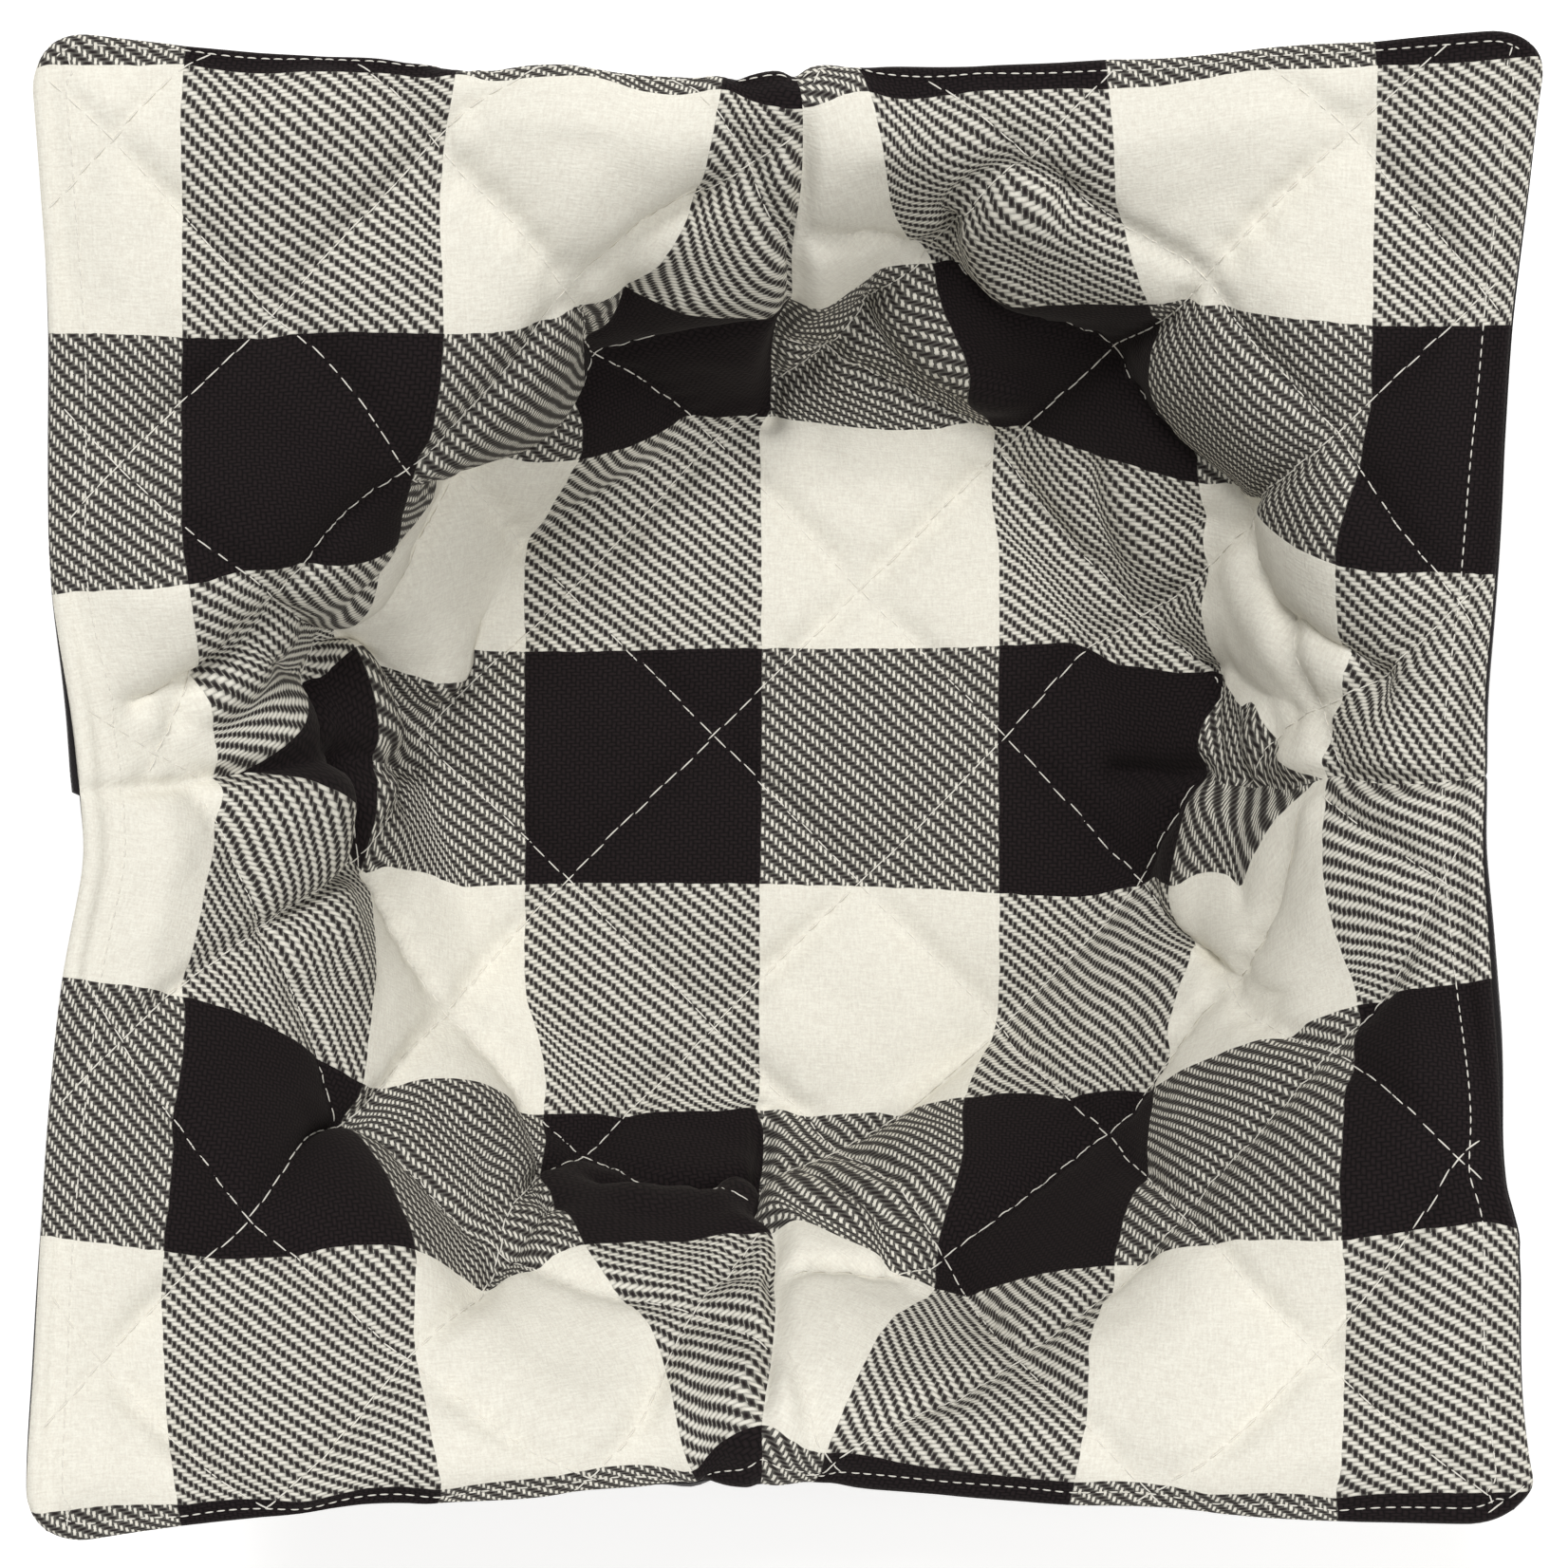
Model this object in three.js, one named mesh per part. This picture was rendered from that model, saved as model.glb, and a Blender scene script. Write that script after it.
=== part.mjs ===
// Bowl cozy: a square quilted pad of two cloths, darted at the middle of each side so that it
// stands up as a shallow well with four corner flaps. A hot bowl stands in the well.
//
// Frame: millimetres, +Z up, X east, Y north. The origin lies under the middle of the flat base,
// on the surface that the cozy rests on. The warp of the checked cloth runs along Y.
//
// Each panel is one closed solid in the shape in which the cloth lies. The pad is laid out flat
// as a lattice with its darts closed. The lattice then settles between the places where the lines
// of the check lie, at the lengths of the flat cloth and with the stiffness of a padded one.

import * as THREE from 'three';

// The pad, laid flat. East and north of its middle are called u and v.
const PAD = {
  halfWidth: 157,
  halfLength: 159,
  cornerRadius: 11,
  mouthFullness: 4,
  mouthReach: 30,
};

// A dart starts at its tip and opens by its spread, to each side, for each millimetre outwards.
const DART = { tip: 64, spread: 0.35 };

const PANEL = { thickness: 2.1, rimThickness: 0.9, gap: 0.3, rimRounding: 2.2 };

// Diagonal quilting in squares. The cloth puffs up between the lines and sinks at them.
const QUILTING = {
  spacing: 38.1,
  crossingU: -9.7,
  crossingV: 6.7,
  innerPuff: 1.2,
  outerPuff: 0.7,
  valleyReach: 8,
};

// Warp lines of the check, flat, and the places between them that the table below names.
const COLUMN_U = {
  w: -PAD.halfWidth,
  a: -132.6,
  ab: -110.8,
  b: -88.9,
  bc: -67,
  c: -45.2,
  cs: -30,
  s: 0,
  se: 29,
  e: 42.2,
  ef: 64,
  f: 85.9,
  fg: 107.7,
  g: 129.6,
  x: PAD.halfWidth,
};

// How the cloth lies: for each weft line of the check, or line halfway between two of them,
// its v in the flat pad and the [east, north] of its crossings with the columns above.
const SECTIONS = [
  { v: 159, w: [-122, 122.5], a: [-95.5, 119.5], b: [-52, 116], c: [-7.5, 116.5], s: [4, 115],
    e: [15, 117.5], f: [56.5, 117.5], g: [100, 120.5], x: [127.5, 121] },
  { v: 153.4, w: [-121.5, 115.5], a: [-96, 115.5], b: [-52, 114], c: [-8, 113], s: [5.5, 107.5],
    e: [16.5, 112.5], f: [57, 113], g: [100.5, 115.5], x: [126.5, 116.5] },
  { v: 131.7, c: [-12, 98], e: [21, 100], f: [58.5, 96.5] },
  { v: 110, w: [-119, 72.5], a: [-97.5, 73], b: [-56, 74], bc: [-39.5, 76], c: [-22.5, 84],
    cs: [-12.5, 80], s: [4, 81], se: [17.5, 86], e: [31, 91], ef: [47, 82], f: [65, 80.5],
    g: [101.5, 74.5], x: [124.5, 74] },
  { v: 88, b: [-60, 53], c: [-32.5, 72], e: [34, 77], f: [68.5, 68] },
  { v: 66, w: [-118.5, 29], a: [-97.5, 31.5], b: [-65.5, 40.5], bc: [-57.5, 53.5], c: [-38, 58],
    cs: [-27, 62], s: [0.5, 64.5], e: [42, 64], ef: [59, 58.5], f: [77.5, 53], fg: [88, 44.5],
    g: [98, 35.5], x: [123.5, 32] },
  { v: 45, a: [-97.5, 16], b: [-73, 30], f: [79, 34.5], g: [101, 18.5] },
  { v: 22.5, b: [-75, 18.5], c: [-45.5, 21.5], e: [42, 22.5], ef: [64, 19.5], f: [82.5, 15.5] },
  { v: 0, w: [-114.5, -3.5], a: [-93, -1.5], ab: [-78, 1.5], b: [-69.5, 2], f: [79, 1.5],
    g: [97, -0.5], x: [121.5, -0.5] },
  { v: -21.3, b: [-75.5, -15.5], c: [-45.5, -21.5], e: [41.5, -21.5], f: [74, -20] },
  { v: -43, b: [-72, -33.5], f: [76, -36], g: [98, -23.5] },
  { v: -65, w: [-117.5, -35.5], a: [-99.5, -39.5], ab: [-86, -46], b: [-72.5, -53.5],
    bc: [-59.5, -56], c: [-43, -62.5], s: [-1, -63], e: [37.5, -60.5], f: [69.5, -56],
    fg: [85, -47.5], g: [101.5, -40], x: [123, -35] },
  { v: -87, b: [-70.5, -67], c: [-40, -75], e: [32.5, -74.5], f: [66, -71] },
  { v: -108.7, w: [-120, -78], a: [-100, -80.5], b: [-61.5, -81.5], c: [-29, -83],
    cs: [-14.5, -82.5], s: [0.5, -81], se: [16, -84.5], e: [27.5, -88], ef: [45.5, -89],
    f: [60, -86], fg: [78, -80.5], g: [96, -78], x: [123.5, -76.5] },
  { v: -130.6, c: [-19, -98.5], e: [19, -100], f: [54, -101] },
  { v: -152.5, w: [-121, -120.5], a: [-97.5, -120.5], b: [-55, -118.5], bc: [-34, -116],
    c: [-13, -114.5], s: [-1, -106.5], e: [9.5, -111], ef: [30.5, -116.5], f: [51.5, -117.5],
    g: [94.5, -120.5], x: [125.5, -118] },
  { v: -159, w: [-120.5, -125], a: [-96, -123.5], b: [-55.5, -122], c: [-11.5, -118.5],
    s: [-1.5, -118.5], e: [8.5, -119], f: [50.5, -121.5], g: [93.5, -123.5], x: [126, -123] },
];

// Single places on the folds of the wall and on the flaps, with where each of them lies.
const FOLDS = [
  { name: 'north west flap', u: -117.7, v: 114.7, lies: [-83.5, 75.5] },
  { name: 'north wall, left of its dart', u: -36.7, v: 87.7, lies: [-29, 76] },
  { name: 'north east wall', u: 71.3, v: 87.7, lies: [60.5, 74.5] },
  { name: 'point of the north east fold', u: 99, v: 66, lies: [86.5, 48.5] },
  { name: 'east fold above its dart', u: 105, v: 22.5, lies: [90.5, 7] },
  { name: 'east fold below its dart', u: 105, v: -21.3, lies: [86.5, -14] },
  { name: 'south east flap', u: 152.3, v: -101.3, lies: [115, -65.5] },
  { name: 'south east wall', u: 71.3, v: -74.3, lies: [60.5, -65] },
  { name: 'south wall at its dart', u: -9.7, v: -101.3, lies: [-4, -78] },
  { name: 'foot of the south wall', u: -36.7, v: -74.3, lies: [-34, -71.5] },
  { name: 'south west fold, right side', u: -60, v: -108.7, lies: [-40, -86] },
  { name: 'point of the south west fold', u: -74, v: -108.7, lies: [-52, -88] },
  { name: 'south west fold, left side', u: -88.9, v: -72.5, lies: [-74.5, -61.5] },
  { name: 'south west flap', u: -117.7, v: -101.3, lies: [-87.5, -76] },
  { name: 'west knuckle below its dart', u: -107, v: -21.3, lies: [-79.5, -4] },
  { name: 'west knuckle above its dart', u: -101.9, v: 22.5, lies: [-82, 13] },
  { name: 'foot of the west knuckle', u: -72, v: 22.5, lies: [-66, 19.5] },
  { name: 'pucker beside the west knuckle', u: -60, v: 22.5, lies: [-57.5, 18] },
];

// The lattice and how it settles. Shares are of the flat length that a link has.
const LATTICE = { cellsPerHalf: 18, flatBaseRadius: 63, steps: 1500, stride: 1.6, momentum: 0.51 };

const STIFFNESS = {
  thread: { shortest: 0.85, longest: 1.01, weight: 1 },
  shear: { shortest: 0.88, longest: 1.03, weight: 0.5 },
  fold: { shortest: 0.85, longest: 1, weight: 0.5 },
  padding: 0.12,
  rim: 0.5,
  hold: 0.25,
};

// The shape that the lattice starts from: a well whose wall rises over a ring of the flat pad.
const START = { wallFrom: 66, wallTo: 140, drawnIn: 42, rise: 55, flapSlope: 0.35 };

const HALF = LATTICE.cellsPerHalf;
const SIDE = 2 * HALF + 1;
const nodeAt = (i, j) => i * SIDE + j;

/** Half of the gap that a dart leaves open in the flat pad, at a distance from the middle. */
function dartGap(distance) {
  return DART.spread * Math.max(0, distance - DART.tip);
}

/** Flat place of a point in one quarter of the pad, from its shares of the half sides, 0 to 1. */
function quarterPlace(shareU, shareV) {
  const alongU = shareU * PAD.halfWidth;
  const alongV = shareV * PAD.halfLength;
  const gapU = dartGap(alongV);
  const gapV = dartGap(alongU);
  const mouthU = PAD.mouthFullness * Math.exp(-((alongV / PAD.mouthReach) ** 2)) * shareU ** 6;
  const mouthV = PAD.mouthFullness * Math.exp(-((alongU / PAD.mouthReach) ** 2)) * shareV ** 6;
  return {
    u: gapU + (PAD.halfWidth - gapU) * shareU + mouthU,
    v: gapV + (PAD.halfLength - gapV) * shareV + mouthV,
  };
}

/** Flat place of a lattice position; on an axis it is the edge of the dart's gap. */
function flatPlace(i, j) {
  return quarterPlace(Math.abs(i - HALF) / HALF, Math.abs(j - HALF) / HALF);
}

/** Flat place with its signs, and with the darts' edges moved to the axes. */
function signedPlace(i, j) {
  const place = flatPlace(i, j);
  return { u: Math.sign(i - HALF) * place.u, v: Math.sign(j - HALF) * place.v };
}

/** Lattice position of a flat place, found by repeated correction. */
function latticePosition(u, v) {
  let shareU = Math.min(1, Math.abs(u) / PAD.halfWidth);
  let shareV = Math.min(1, Math.abs(v) / PAD.halfLength);
  for (let round = 0; round < 60 && u !== 0 && v !== 0; round += 1) {
    const place = quarterPlace(shareU, shareV);
    shareU = THREE.MathUtils.clamp(shareU + (Math.abs(u) - place.u) / PAD.halfWidth, 0, 1);
    shareV = THREE.MathUtils.clamp(shareV + (Math.abs(v) - place.v) / PAD.halfLength, 0, 1);
  }
  return { i: HALF * (1 + Math.sign(u) * shareU), j: HALF * (1 + Math.sign(v) * shareV) };
}

function flatDistance(i, j, k, l) {
  const from = flatPlace(i, j);
  const to = flatPlace(k, l);
  return Math.hypot(to.u - from.u, to.v - from.v);
}

/** All links of one kind: two nodes a step apart, that keep about their flat distance. */
function linksAlong(stepI, stepJ, limits) {
  const links = [];
  for (let i = 0; i + stepI < SIDE; i += 1) {
    for (let j = Math.max(0, -stepJ); j + stepJ < SIDE && j < SIDE; j += 1) {
      const middleI = i + Math.trunc(stepI / 2);
      const middleJ = j + Math.trunc(stepJ / 2);
      const twoCells = stepI > 1 || stepJ > 1;
      const length = twoCells
        ? flatDistance(i, j, middleI, middleJ) + flatDistance(middleI, middleJ, i + stepI, j + stepJ)
        : flatDistance(i, j, i + stepI, j + stepJ);
      links.push({ from: nodeAt(i, j), to: nodeAt(i + stepI, j + stepJ), length, limits });
    }
  }
  return links;
}

/** Triples in a row, each of which its padding straightens; reach is in cells to each side. */
function stiffeners(reach, weight, onRimOnly) {
  const triples = [];
  const isRim = (k) => k === 0 || k === SIDE - 1;
  for (let i = 0; i < SIDE; i += 1) {
    for (let j = 0; j < SIDE; j += 1) {
      if (i >= reach && i + reach < SIDE && (!onRimOnly || isRim(j))) {
        triples.push([nodeAt(i - reach, j), nodeAt(i, j), nodeAt(i + reach, j), weight]);
      }
      if (j >= reach && j + reach < SIDE && (!onRimOnly || isRim(i))) {
        triples.push([nodeAt(i, j - reach), nodeAt(i, j), nodeAt(i, j + reach), weight]);
      }
    }
  }
  return triples;
}

/** A hold keeps the cloth at a flat place over a point of the floor, and leaves its height free. */
function holdAt(u, v, [east, north]) {
  const position = latticePosition(u, v);
  const i = Math.min(Math.floor(position.i), SIDE - 2);
  const j = Math.min(Math.floor(position.j), SIDE - 2);
  const shareI = position.i - i;
  const shareJ = position.j - j;
  const nodes = [nodeAt(i, j), nodeAt(i + 1, j), nodeAt(i, j + 1), nodeAt(i + 1, j + 1)];
  const shares = [(1 - shareI) * (1 - shareJ), shareI * (1 - shareJ), (1 - shareI) * shareJ,
    shareI * shareJ];
  const grip = STIFFNESS.hold / shares.reduce((sum, share) => sum + share * share, 0);
  return { nodes, shares, grip, east, north };
}

function allHolds() {
  const holds = [];
  for (const { v, ...columns } of SECTIONS) {
    for (const [column, lies] of Object.entries(columns)) {
      holds.push(holdAt(COLUMN_U[column], v, lies));
    }
  }
  for (const fold of FOLDS) {
    holds.push(holdAt(fold.u, fold.v, fold.lies));
  }
  return holds;
}

/** Starting shape: the pad drawn in towards its middle while its wall rises. */
function startingShape() {
  const points = new Float64Array(3 * SIDE * SIDE);
  for (let i = 0; i < SIDE; i += 1) {
    for (let j = 0; j < SIDE; j += 1) {
      const { u, v } = signedPlace(i, j);
      const distance = Math.hypot(u, v);
      const risen = THREE.MathUtils.smoothstep(distance, START.wallFrom, START.wallTo);
      const scale = (distance - START.drawnIn * risen) / Math.max(distance, 1e-6);
      const flap = START.flapSlope * Math.max(0, distance - START.wallTo);
      points.set([u * scale, v * scale, START.rise * risen + flap], 3 * nodeAt(i, j));
    }
  }
  return points;
}

/** Moves the lattice, step by step, until lengths, stiffness and holds balance. */
function settledCloth() {
  const points = startingShape();
  const links = [
    ...linksAlong(1, 0, STIFFNESS.thread),
    ...linksAlong(0, 1, STIFFNESS.thread),
    ...linksAlong(1, 1, STIFFNESS.shear),
    ...linksAlong(1, -1, STIFFNESS.shear),
    ...linksAlong(2, 0, STIFFNESS.fold),
    ...linksAlong(0, 2, STIFFNESS.fold),
  ];
  const triples = [
    ...stiffeners(1, STIFFNESS.padding, false),
    ...stiffeners(1, STIFFNESS.rim, true),
    ...stiffeners(2, STIFFNESS.rim, true),
  ];
  const holds = allHolds();
  const base = [];
  for (let i = 0; i < SIDE; i += 1) {
    for (let j = 0; j < SIDE; j += 1) {
      const { u, v } = signedPlace(i, j);
      if (Math.hypot(u, v) < LATTICE.flatBaseRadius) {
        base.push([nodeAt(i, j), u, v]);
      }
    }
  }
  const weights = new Float64Array(SIDE * SIDE);
  for (const { from, to, limits } of links) {
    weights[from] += limits.weight;
    weights[to] += limits.weight;
  }
  for (const [before, middle, after, weight] of triples) {
    weights[before] += 0.25 * weight;
    weights[middle] += 0.75 * weight;
    weights[after] += 0.25 * weight;
  }
  const moves = new Float64Array(points.length);
  const carried = new Float64Array(points.length);
  for (let step = 0; step < LATTICE.steps; step += 1) {
    moves.fill(0);
    for (const { from, to, length, limits } of links) {
      const dx = points[3 * to] - points[3 * from];
      const dy = points[3 * to + 1] - points[3 * from + 1];
      const dz = points[3 * to + 2] - points[3 * from + 2];
      const now = Math.hypot(dx, dy, dz) + 1e-9;
      const wanted = THREE.MathUtils.clamp(now, length * limits.shortest, length * limits.longest);
      const pull = 0.5 * limits.weight * (1 - wanted / now);
      const move = [pull * dx, pull * dy, pull * dz];
      for (let axis = 0; axis < 3; axis += 1) {
        moves[3 * from + axis] += move[axis];
        moves[3 * to + axis] -= move[axis];
      }
    }
    for (const [before, middle, after, weight] of triples) {
      for (let axis = 0; axis < 3; axis += 1) {
        const chord = 0.5 * (points[3 * before + axis] + points[3 * after + axis]);
        const move = 0.5 * weight * (chord - points[3 * middle + axis]);
        moves[3 * middle + axis] += move;
        moves[3 * before + axis] -= 0.5 * move;
        moves[3 * after + axis] -= 0.5 * move;
      }
    }
    for (let node = 0; node < weights.length; node += 1) {
      for (let axis = 0; axis < 3; axis += 1) {
        moves[3 * node + axis] *= LATTICE.stride / weights[node];
      }
    }
    for (const { nodes, shares, grip, east, north } of holds) {
      let x = 0;
      let y = 0;
      nodes.forEach((node, corner) => {
        x += shares[corner] * points[3 * node];
        y += shares[corner] * points[3 * node + 1];
      });
      nodes.forEach((node, corner) => {
        moves[3 * node] += shares[corner] * grip * (east - x);
        moves[3 * node + 1] += shares[corner] * grip * (north - y);
      });
    }
    for (let k = 0; k < points.length; k += 1) {
      points[k] += moves[k] + LATTICE.momentum * carried[k];
      carried[k] = moves[k];
    }
    for (let node = 0; node < weights.length; node += 1) {
      points[3 * node + 2] = Math.max(0, points[3 * node + 2]);
    }
    for (const [node, u, v] of base) {
      points.set([u, v, 0], 3 * node);
    }
  }
  return points;
}

/** Lattice position with the square corner of the pad drawn onto an arc. */
function roundedPosition(i, j) {
  const pitch = flatDistance(SIDE - 2, SIDE - 1, SIDE - 1, SIDE - 1);
  const radius = PAD.cornerRadius / pitch;
  const inI = Math.abs(i - HALF) - (HALF - radius);
  const inJ = Math.abs(j - HALF) - (HALF - radius);
  if (inI <= 0 || inJ <= 0) {
    return { i, j };
  }
  const scale = Math.max(inI, inJ) / Math.hypot(inI, inJ);
  return {
    i: HALF + Math.sign(i - HALF) * (HALF - radius + inI * scale),
    j: HALF + Math.sign(j - HALF) * (HALF - radius + inJ * scale),
  };
}

/** Point of the settled cloth at any lattice position. */
function clothPoint(points, i, j) {
  const cellI = Math.min(Math.floor(i), SIDE - 2);
  const cellJ = Math.min(Math.floor(j), SIDE - 2);
  const corner = (k, l) => new THREE.Vector3().fromArray(points, 3 * nodeAt(cellI + k, cellJ + l));
  const south = corner(0, 0).lerp(corner(1, 0), i - cellI);
  const north = corner(0, 1).lerp(corner(1, 1), i - cellI);
  return south.lerp(north, j - cellJ);
}

/** How far the quilting lifts the cloth at a flat place, from 0 on a line to 1 between lines. */
function quiltedLift(i, j) {
  const { u, v } = flatPlace(i, j);
  const onDart = (i === HALF && v > DART.tip) || (j === HALF && u > DART.tip);
  if (onDart) {
    return 0;
  }
  const signedU = (i < HALF ? -u : u) - QUILTING.crossingU;
  const signedV = (j < HALF ? -v : v) - QUILTING.crossingV;
  let lift = 1;
  for (const across of [(signedU + signedV) / Math.SQRT2, (signedU - signedV) / Math.SQRT2]) {
    const fromLine = across - QUILTING.spacing * Math.round(across / QUILTING.spacing);
    lift *= 1 - Math.exp(-((fromLine / QUILTING.valleyReach) ** 2));
  }
  return lift;
}

/** Grid of the pad's middle surface, with a row close inside each rim to round the edge. */
function middleSurface() {
  const points = settledCloth();
  const inset = PANEL.rimRounding / flatDistance(SIDE - 2, SIDE - 1, SIDE - 1, SIDE - 1);
  const ticks = [0, inset];
  for (let k = 1; k < SIDE - 1; k += 1) {
    ticks.push(k);
  }
  ticks.push(SIDE - 1 - inset, SIDE - 1);
  const count = ticks.length;
  const places = [];
  for (let p = 0; p < count; p += 1) {
    for (let q = 0; q < count; q += 1) {
      const { i, j } = roundedPosition(ticks[p], ticks[q]);
      const onRim = p === 0 || q === 0 || p === count - 1 || q === count - 1;
      places.push({ point: clothPoint(points, i, j), lift: quiltedLift(i, j), onRim });
    }
  }
  return { count, places };
}

/** Two triangles for each cell, split along its shorter diagonal, facing up. */
function gridTriangles({ count, places }) {
  const triangles = [];
  for (let p = 0; p + 1 < count; p += 1) {
    for (let q = 0; q + 1 < count; q += 1) {
      const [a, b] = [p * count + q, (p + 1) * count + q];
      const [c, d] = [b + 1, a + 1];
      const rising = places[a].point.distanceTo(places[c].point);
      const falling = places[b].point.distanceTo(places[d].point);
      if (rising <= falling) {
        triangles.push([a, b, c], [a, c, d]);
      } else {
        triangles.push([a, b, d], [b, c, d]);
      }
    }
  }
  return triangles;
}

function surfaceNormals({ places }, triangles) {
  const normals = places.map(() => new THREE.Vector3());
  for (const [a, b, c] of triangles) {
    const along = places[b].point.clone().sub(places[a].point);
    const across = places[c].point.clone().sub(places[a].point);
    const facing = along.cross(across);
    for (const corner of [a, b, c]) {
      normals[corner].add(facing);
    }
  }
  return normals.map((normal) => normal.normalize());
}

/** The grid's outline, counter-clockwise from above. */
function rimLoop(count) {
  const last = count - 1;
  const steps = Array.from({ length: last }, (_, k) => k);
  return [
    ...steps.map((k) => k * count),
    ...steps.map((k) => last * count + k),
    ...steps.map((k) => (last - k) * count + last),
    ...steps.map((k) => last - k),
  ];
}

/** Closed solid between two heights over the middle surface, each a function of a place. */
function panelGeometry(surface, lowerHeight, upperHeight) {
  const { count, places } = surface;
  const triangles = gridTriangles(surface);
  const normals = surfaceNormals(surface, triangles);
  const lift = PANEL.thickness + PANEL.gap / 2;
  const vertices = [];
  for (const height of [lowerHeight, upperHeight]) {
    places.forEach((place, k) => {
      const vertex = place.point.clone().addScaledVector(normals[k], height(place));
      vertices.push(vertex.x, vertex.y, vertex.z + lift);
    });
  }
  const above = places.length;
  const faces = [];
  for (const [a, b, c] of triangles) {
    faces.push(a, c, b);
    faces.push(above + a, above + b, above + c);
  }
  const loop = rimLoop(count);
  loop.forEach((from, k) => {
    const to = loop[(k + 1) % loop.length];
    faces.push(from, to, above + to);
    faces.push(from, above + to, above + from);
  });
  const geometry = new THREE.BufferGeometry();
  geometry.setAttribute('position', new THREE.Float32BufferAttribute(vertices, 3));
  geometry.setIndex(faces);
  geometry.computeVertexNormals();
  return geometry;
}

const surface = middleSurface();
const halfGap = PANEL.gap / 2;

/** The quilting doesn't lift the underside of the base, which lies flat on the surface. */
const offTheFloor = ({ point }) => THREE.MathUtils.smoothstep(point.z, 1, 10);

const innerTop = ({ lift, onRim }) => (
  halfGap + (onRim ? PANEL.rimThickness : PANEL.thickness + QUILTING.innerPuff * lift)
);
const outerBottom = (place) => (
  -halfGap - (place.onRim
    ? PANEL.rimThickness
    : PANEL.thickness + QUILTING.outerPuff * place.lift * offTheFloor(place))
);

const checkedTwill = new THREE.MeshStandardMaterial({
  color: '#edeae0',
  roughness: 0.95,
  metalness: 0,
});
const blackCloth = new THREE.MeshStandardMaterial({
  color: '#211d1e',
  roughness: 0.95,
  metalness: 0,
});

const innerPanel = new THREE.Mesh(
  panelGeometry(surface, () => halfGap, innerTop),
  checkedTwill,
);
innerPanel.name = 'inner_panel';

const outerPanel = new THREE.Mesh(
  panelGeometry(surface, outerBottom, () => -halfGap),
  blackCloth,
);
outerPanel.name = 'outer_panel';

const bowlCozy = new THREE.Group();
bowlCozy.name = 'bowl_cozy';
bowlCozy.add(innerPanel, outerPanel);

export default bowlCozy;
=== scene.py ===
"""Bowl cozy: a square pad of checked twill over a black backing, quilted in diagonal squares.

The pad is darted at the middle of each side, so that it stands as a well with four corner flaps.
Sizes are millimetres here and become metres in each mesh. The flat cloth has east and north
coordinates u and v from its middle, with its darts open, and shares from -1 to 1 of its half
sides, with its darts closed.
"""
import math

import bpy
import numpy as np
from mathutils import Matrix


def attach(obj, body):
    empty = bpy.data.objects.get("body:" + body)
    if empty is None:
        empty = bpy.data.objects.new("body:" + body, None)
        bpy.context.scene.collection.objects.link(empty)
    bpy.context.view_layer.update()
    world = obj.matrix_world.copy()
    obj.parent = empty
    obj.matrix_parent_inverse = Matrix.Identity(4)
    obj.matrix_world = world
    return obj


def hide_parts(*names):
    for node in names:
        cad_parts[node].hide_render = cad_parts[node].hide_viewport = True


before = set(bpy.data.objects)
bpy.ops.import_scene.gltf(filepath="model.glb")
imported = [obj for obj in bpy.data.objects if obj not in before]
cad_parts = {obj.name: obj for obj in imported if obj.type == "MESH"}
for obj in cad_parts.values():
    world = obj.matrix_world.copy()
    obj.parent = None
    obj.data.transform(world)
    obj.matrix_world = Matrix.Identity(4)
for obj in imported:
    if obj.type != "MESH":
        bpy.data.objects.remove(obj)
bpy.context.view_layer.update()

MM = 0.001

# The pad laid flat, as in the solids. A corner is rounded over shares of its half sides there.
HALF_WIDTH = 157.0
HALF_LENGTH = 159.0
CORNER_RADIUS = 11.0
CORNER_U = CORNER_RADIUS / 136.0
CORNER_V = CORNER_RADIUS / 138.0
MOUTH_FULLNESS = 4.0
MOUTH_REACH = 30.0
MOUTH_POWER = 6
DART_TIP = 64.0
DART_SPREAD = 0.35
PANEL_THICKNESS = 2.1
RIM_THICKNESS = 0.9
PANEL_GAP = 0.3
RIM_ROLL = 3.0
MIDDLE_HEIGHT = PANEL_THICKNESS + PANEL_GAP / 2

# Quilting in squares, through one flat crossing. A line is a wide and a narrow dip in the padding,
# with puckers beside it.
QUILT_SPACING = 38.1
QUILT_U = -9.7
QUILT_V = 6.7
WIDE_DIP, WIDE_REACH = 0.4, 8.0
NARROW_DIP, NARROW_REACH = 0.6, 2.3
PUCKER_WAVE, PUCKER_OFF, PUCKER_SPREAD = 1.1, 2.2, 5.0
PHASE_SIZE, STRENGTH_SIZE = 14.0, 22.0

# Relief of both faces: puffs, puckers and unevenness, and dips at the darts and inside the rim.
INNER_PUFF, OUTER_PUFF = 3.4, 1.5
INNER_PUCKER, OUTER_PUCKER = 0.45, 0.25
UNEVENNESS, UNEVEN_SIZES = 0.5, (13.0, 5.0)
SEAM_DIP, SEAM_REACH = 1.0, 2.2
INNER_RIM_DIP, OUTER_RIM_DIP = 0.45, 0.3
RIM_DIP_IN, RIM_DIP_REACH = 3.7, 1.3
FLAT_RIM, RELIEF_RISE, OUTER_RISE = 5.0, 10.0, 16.0
LOWEST_CREASE, HIGHEST_CREASE = -1.2, 2.0

# Where quilting lines run beside their even places: flat place, reach, and how far the falling
# lines lie to the upper right and the rising ones to the lower right.
QUILT_DRIFT = [
    # North east flap by the rim, north west flap by its corner, south east flap by the rim, base.
    (142, 93, 22, 0, -3.6), (-128, 107, 20, 0, 1.1), (148, -100, 24, 0, -4.0), (10, 0, 75, -1.0, 0),
]

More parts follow.
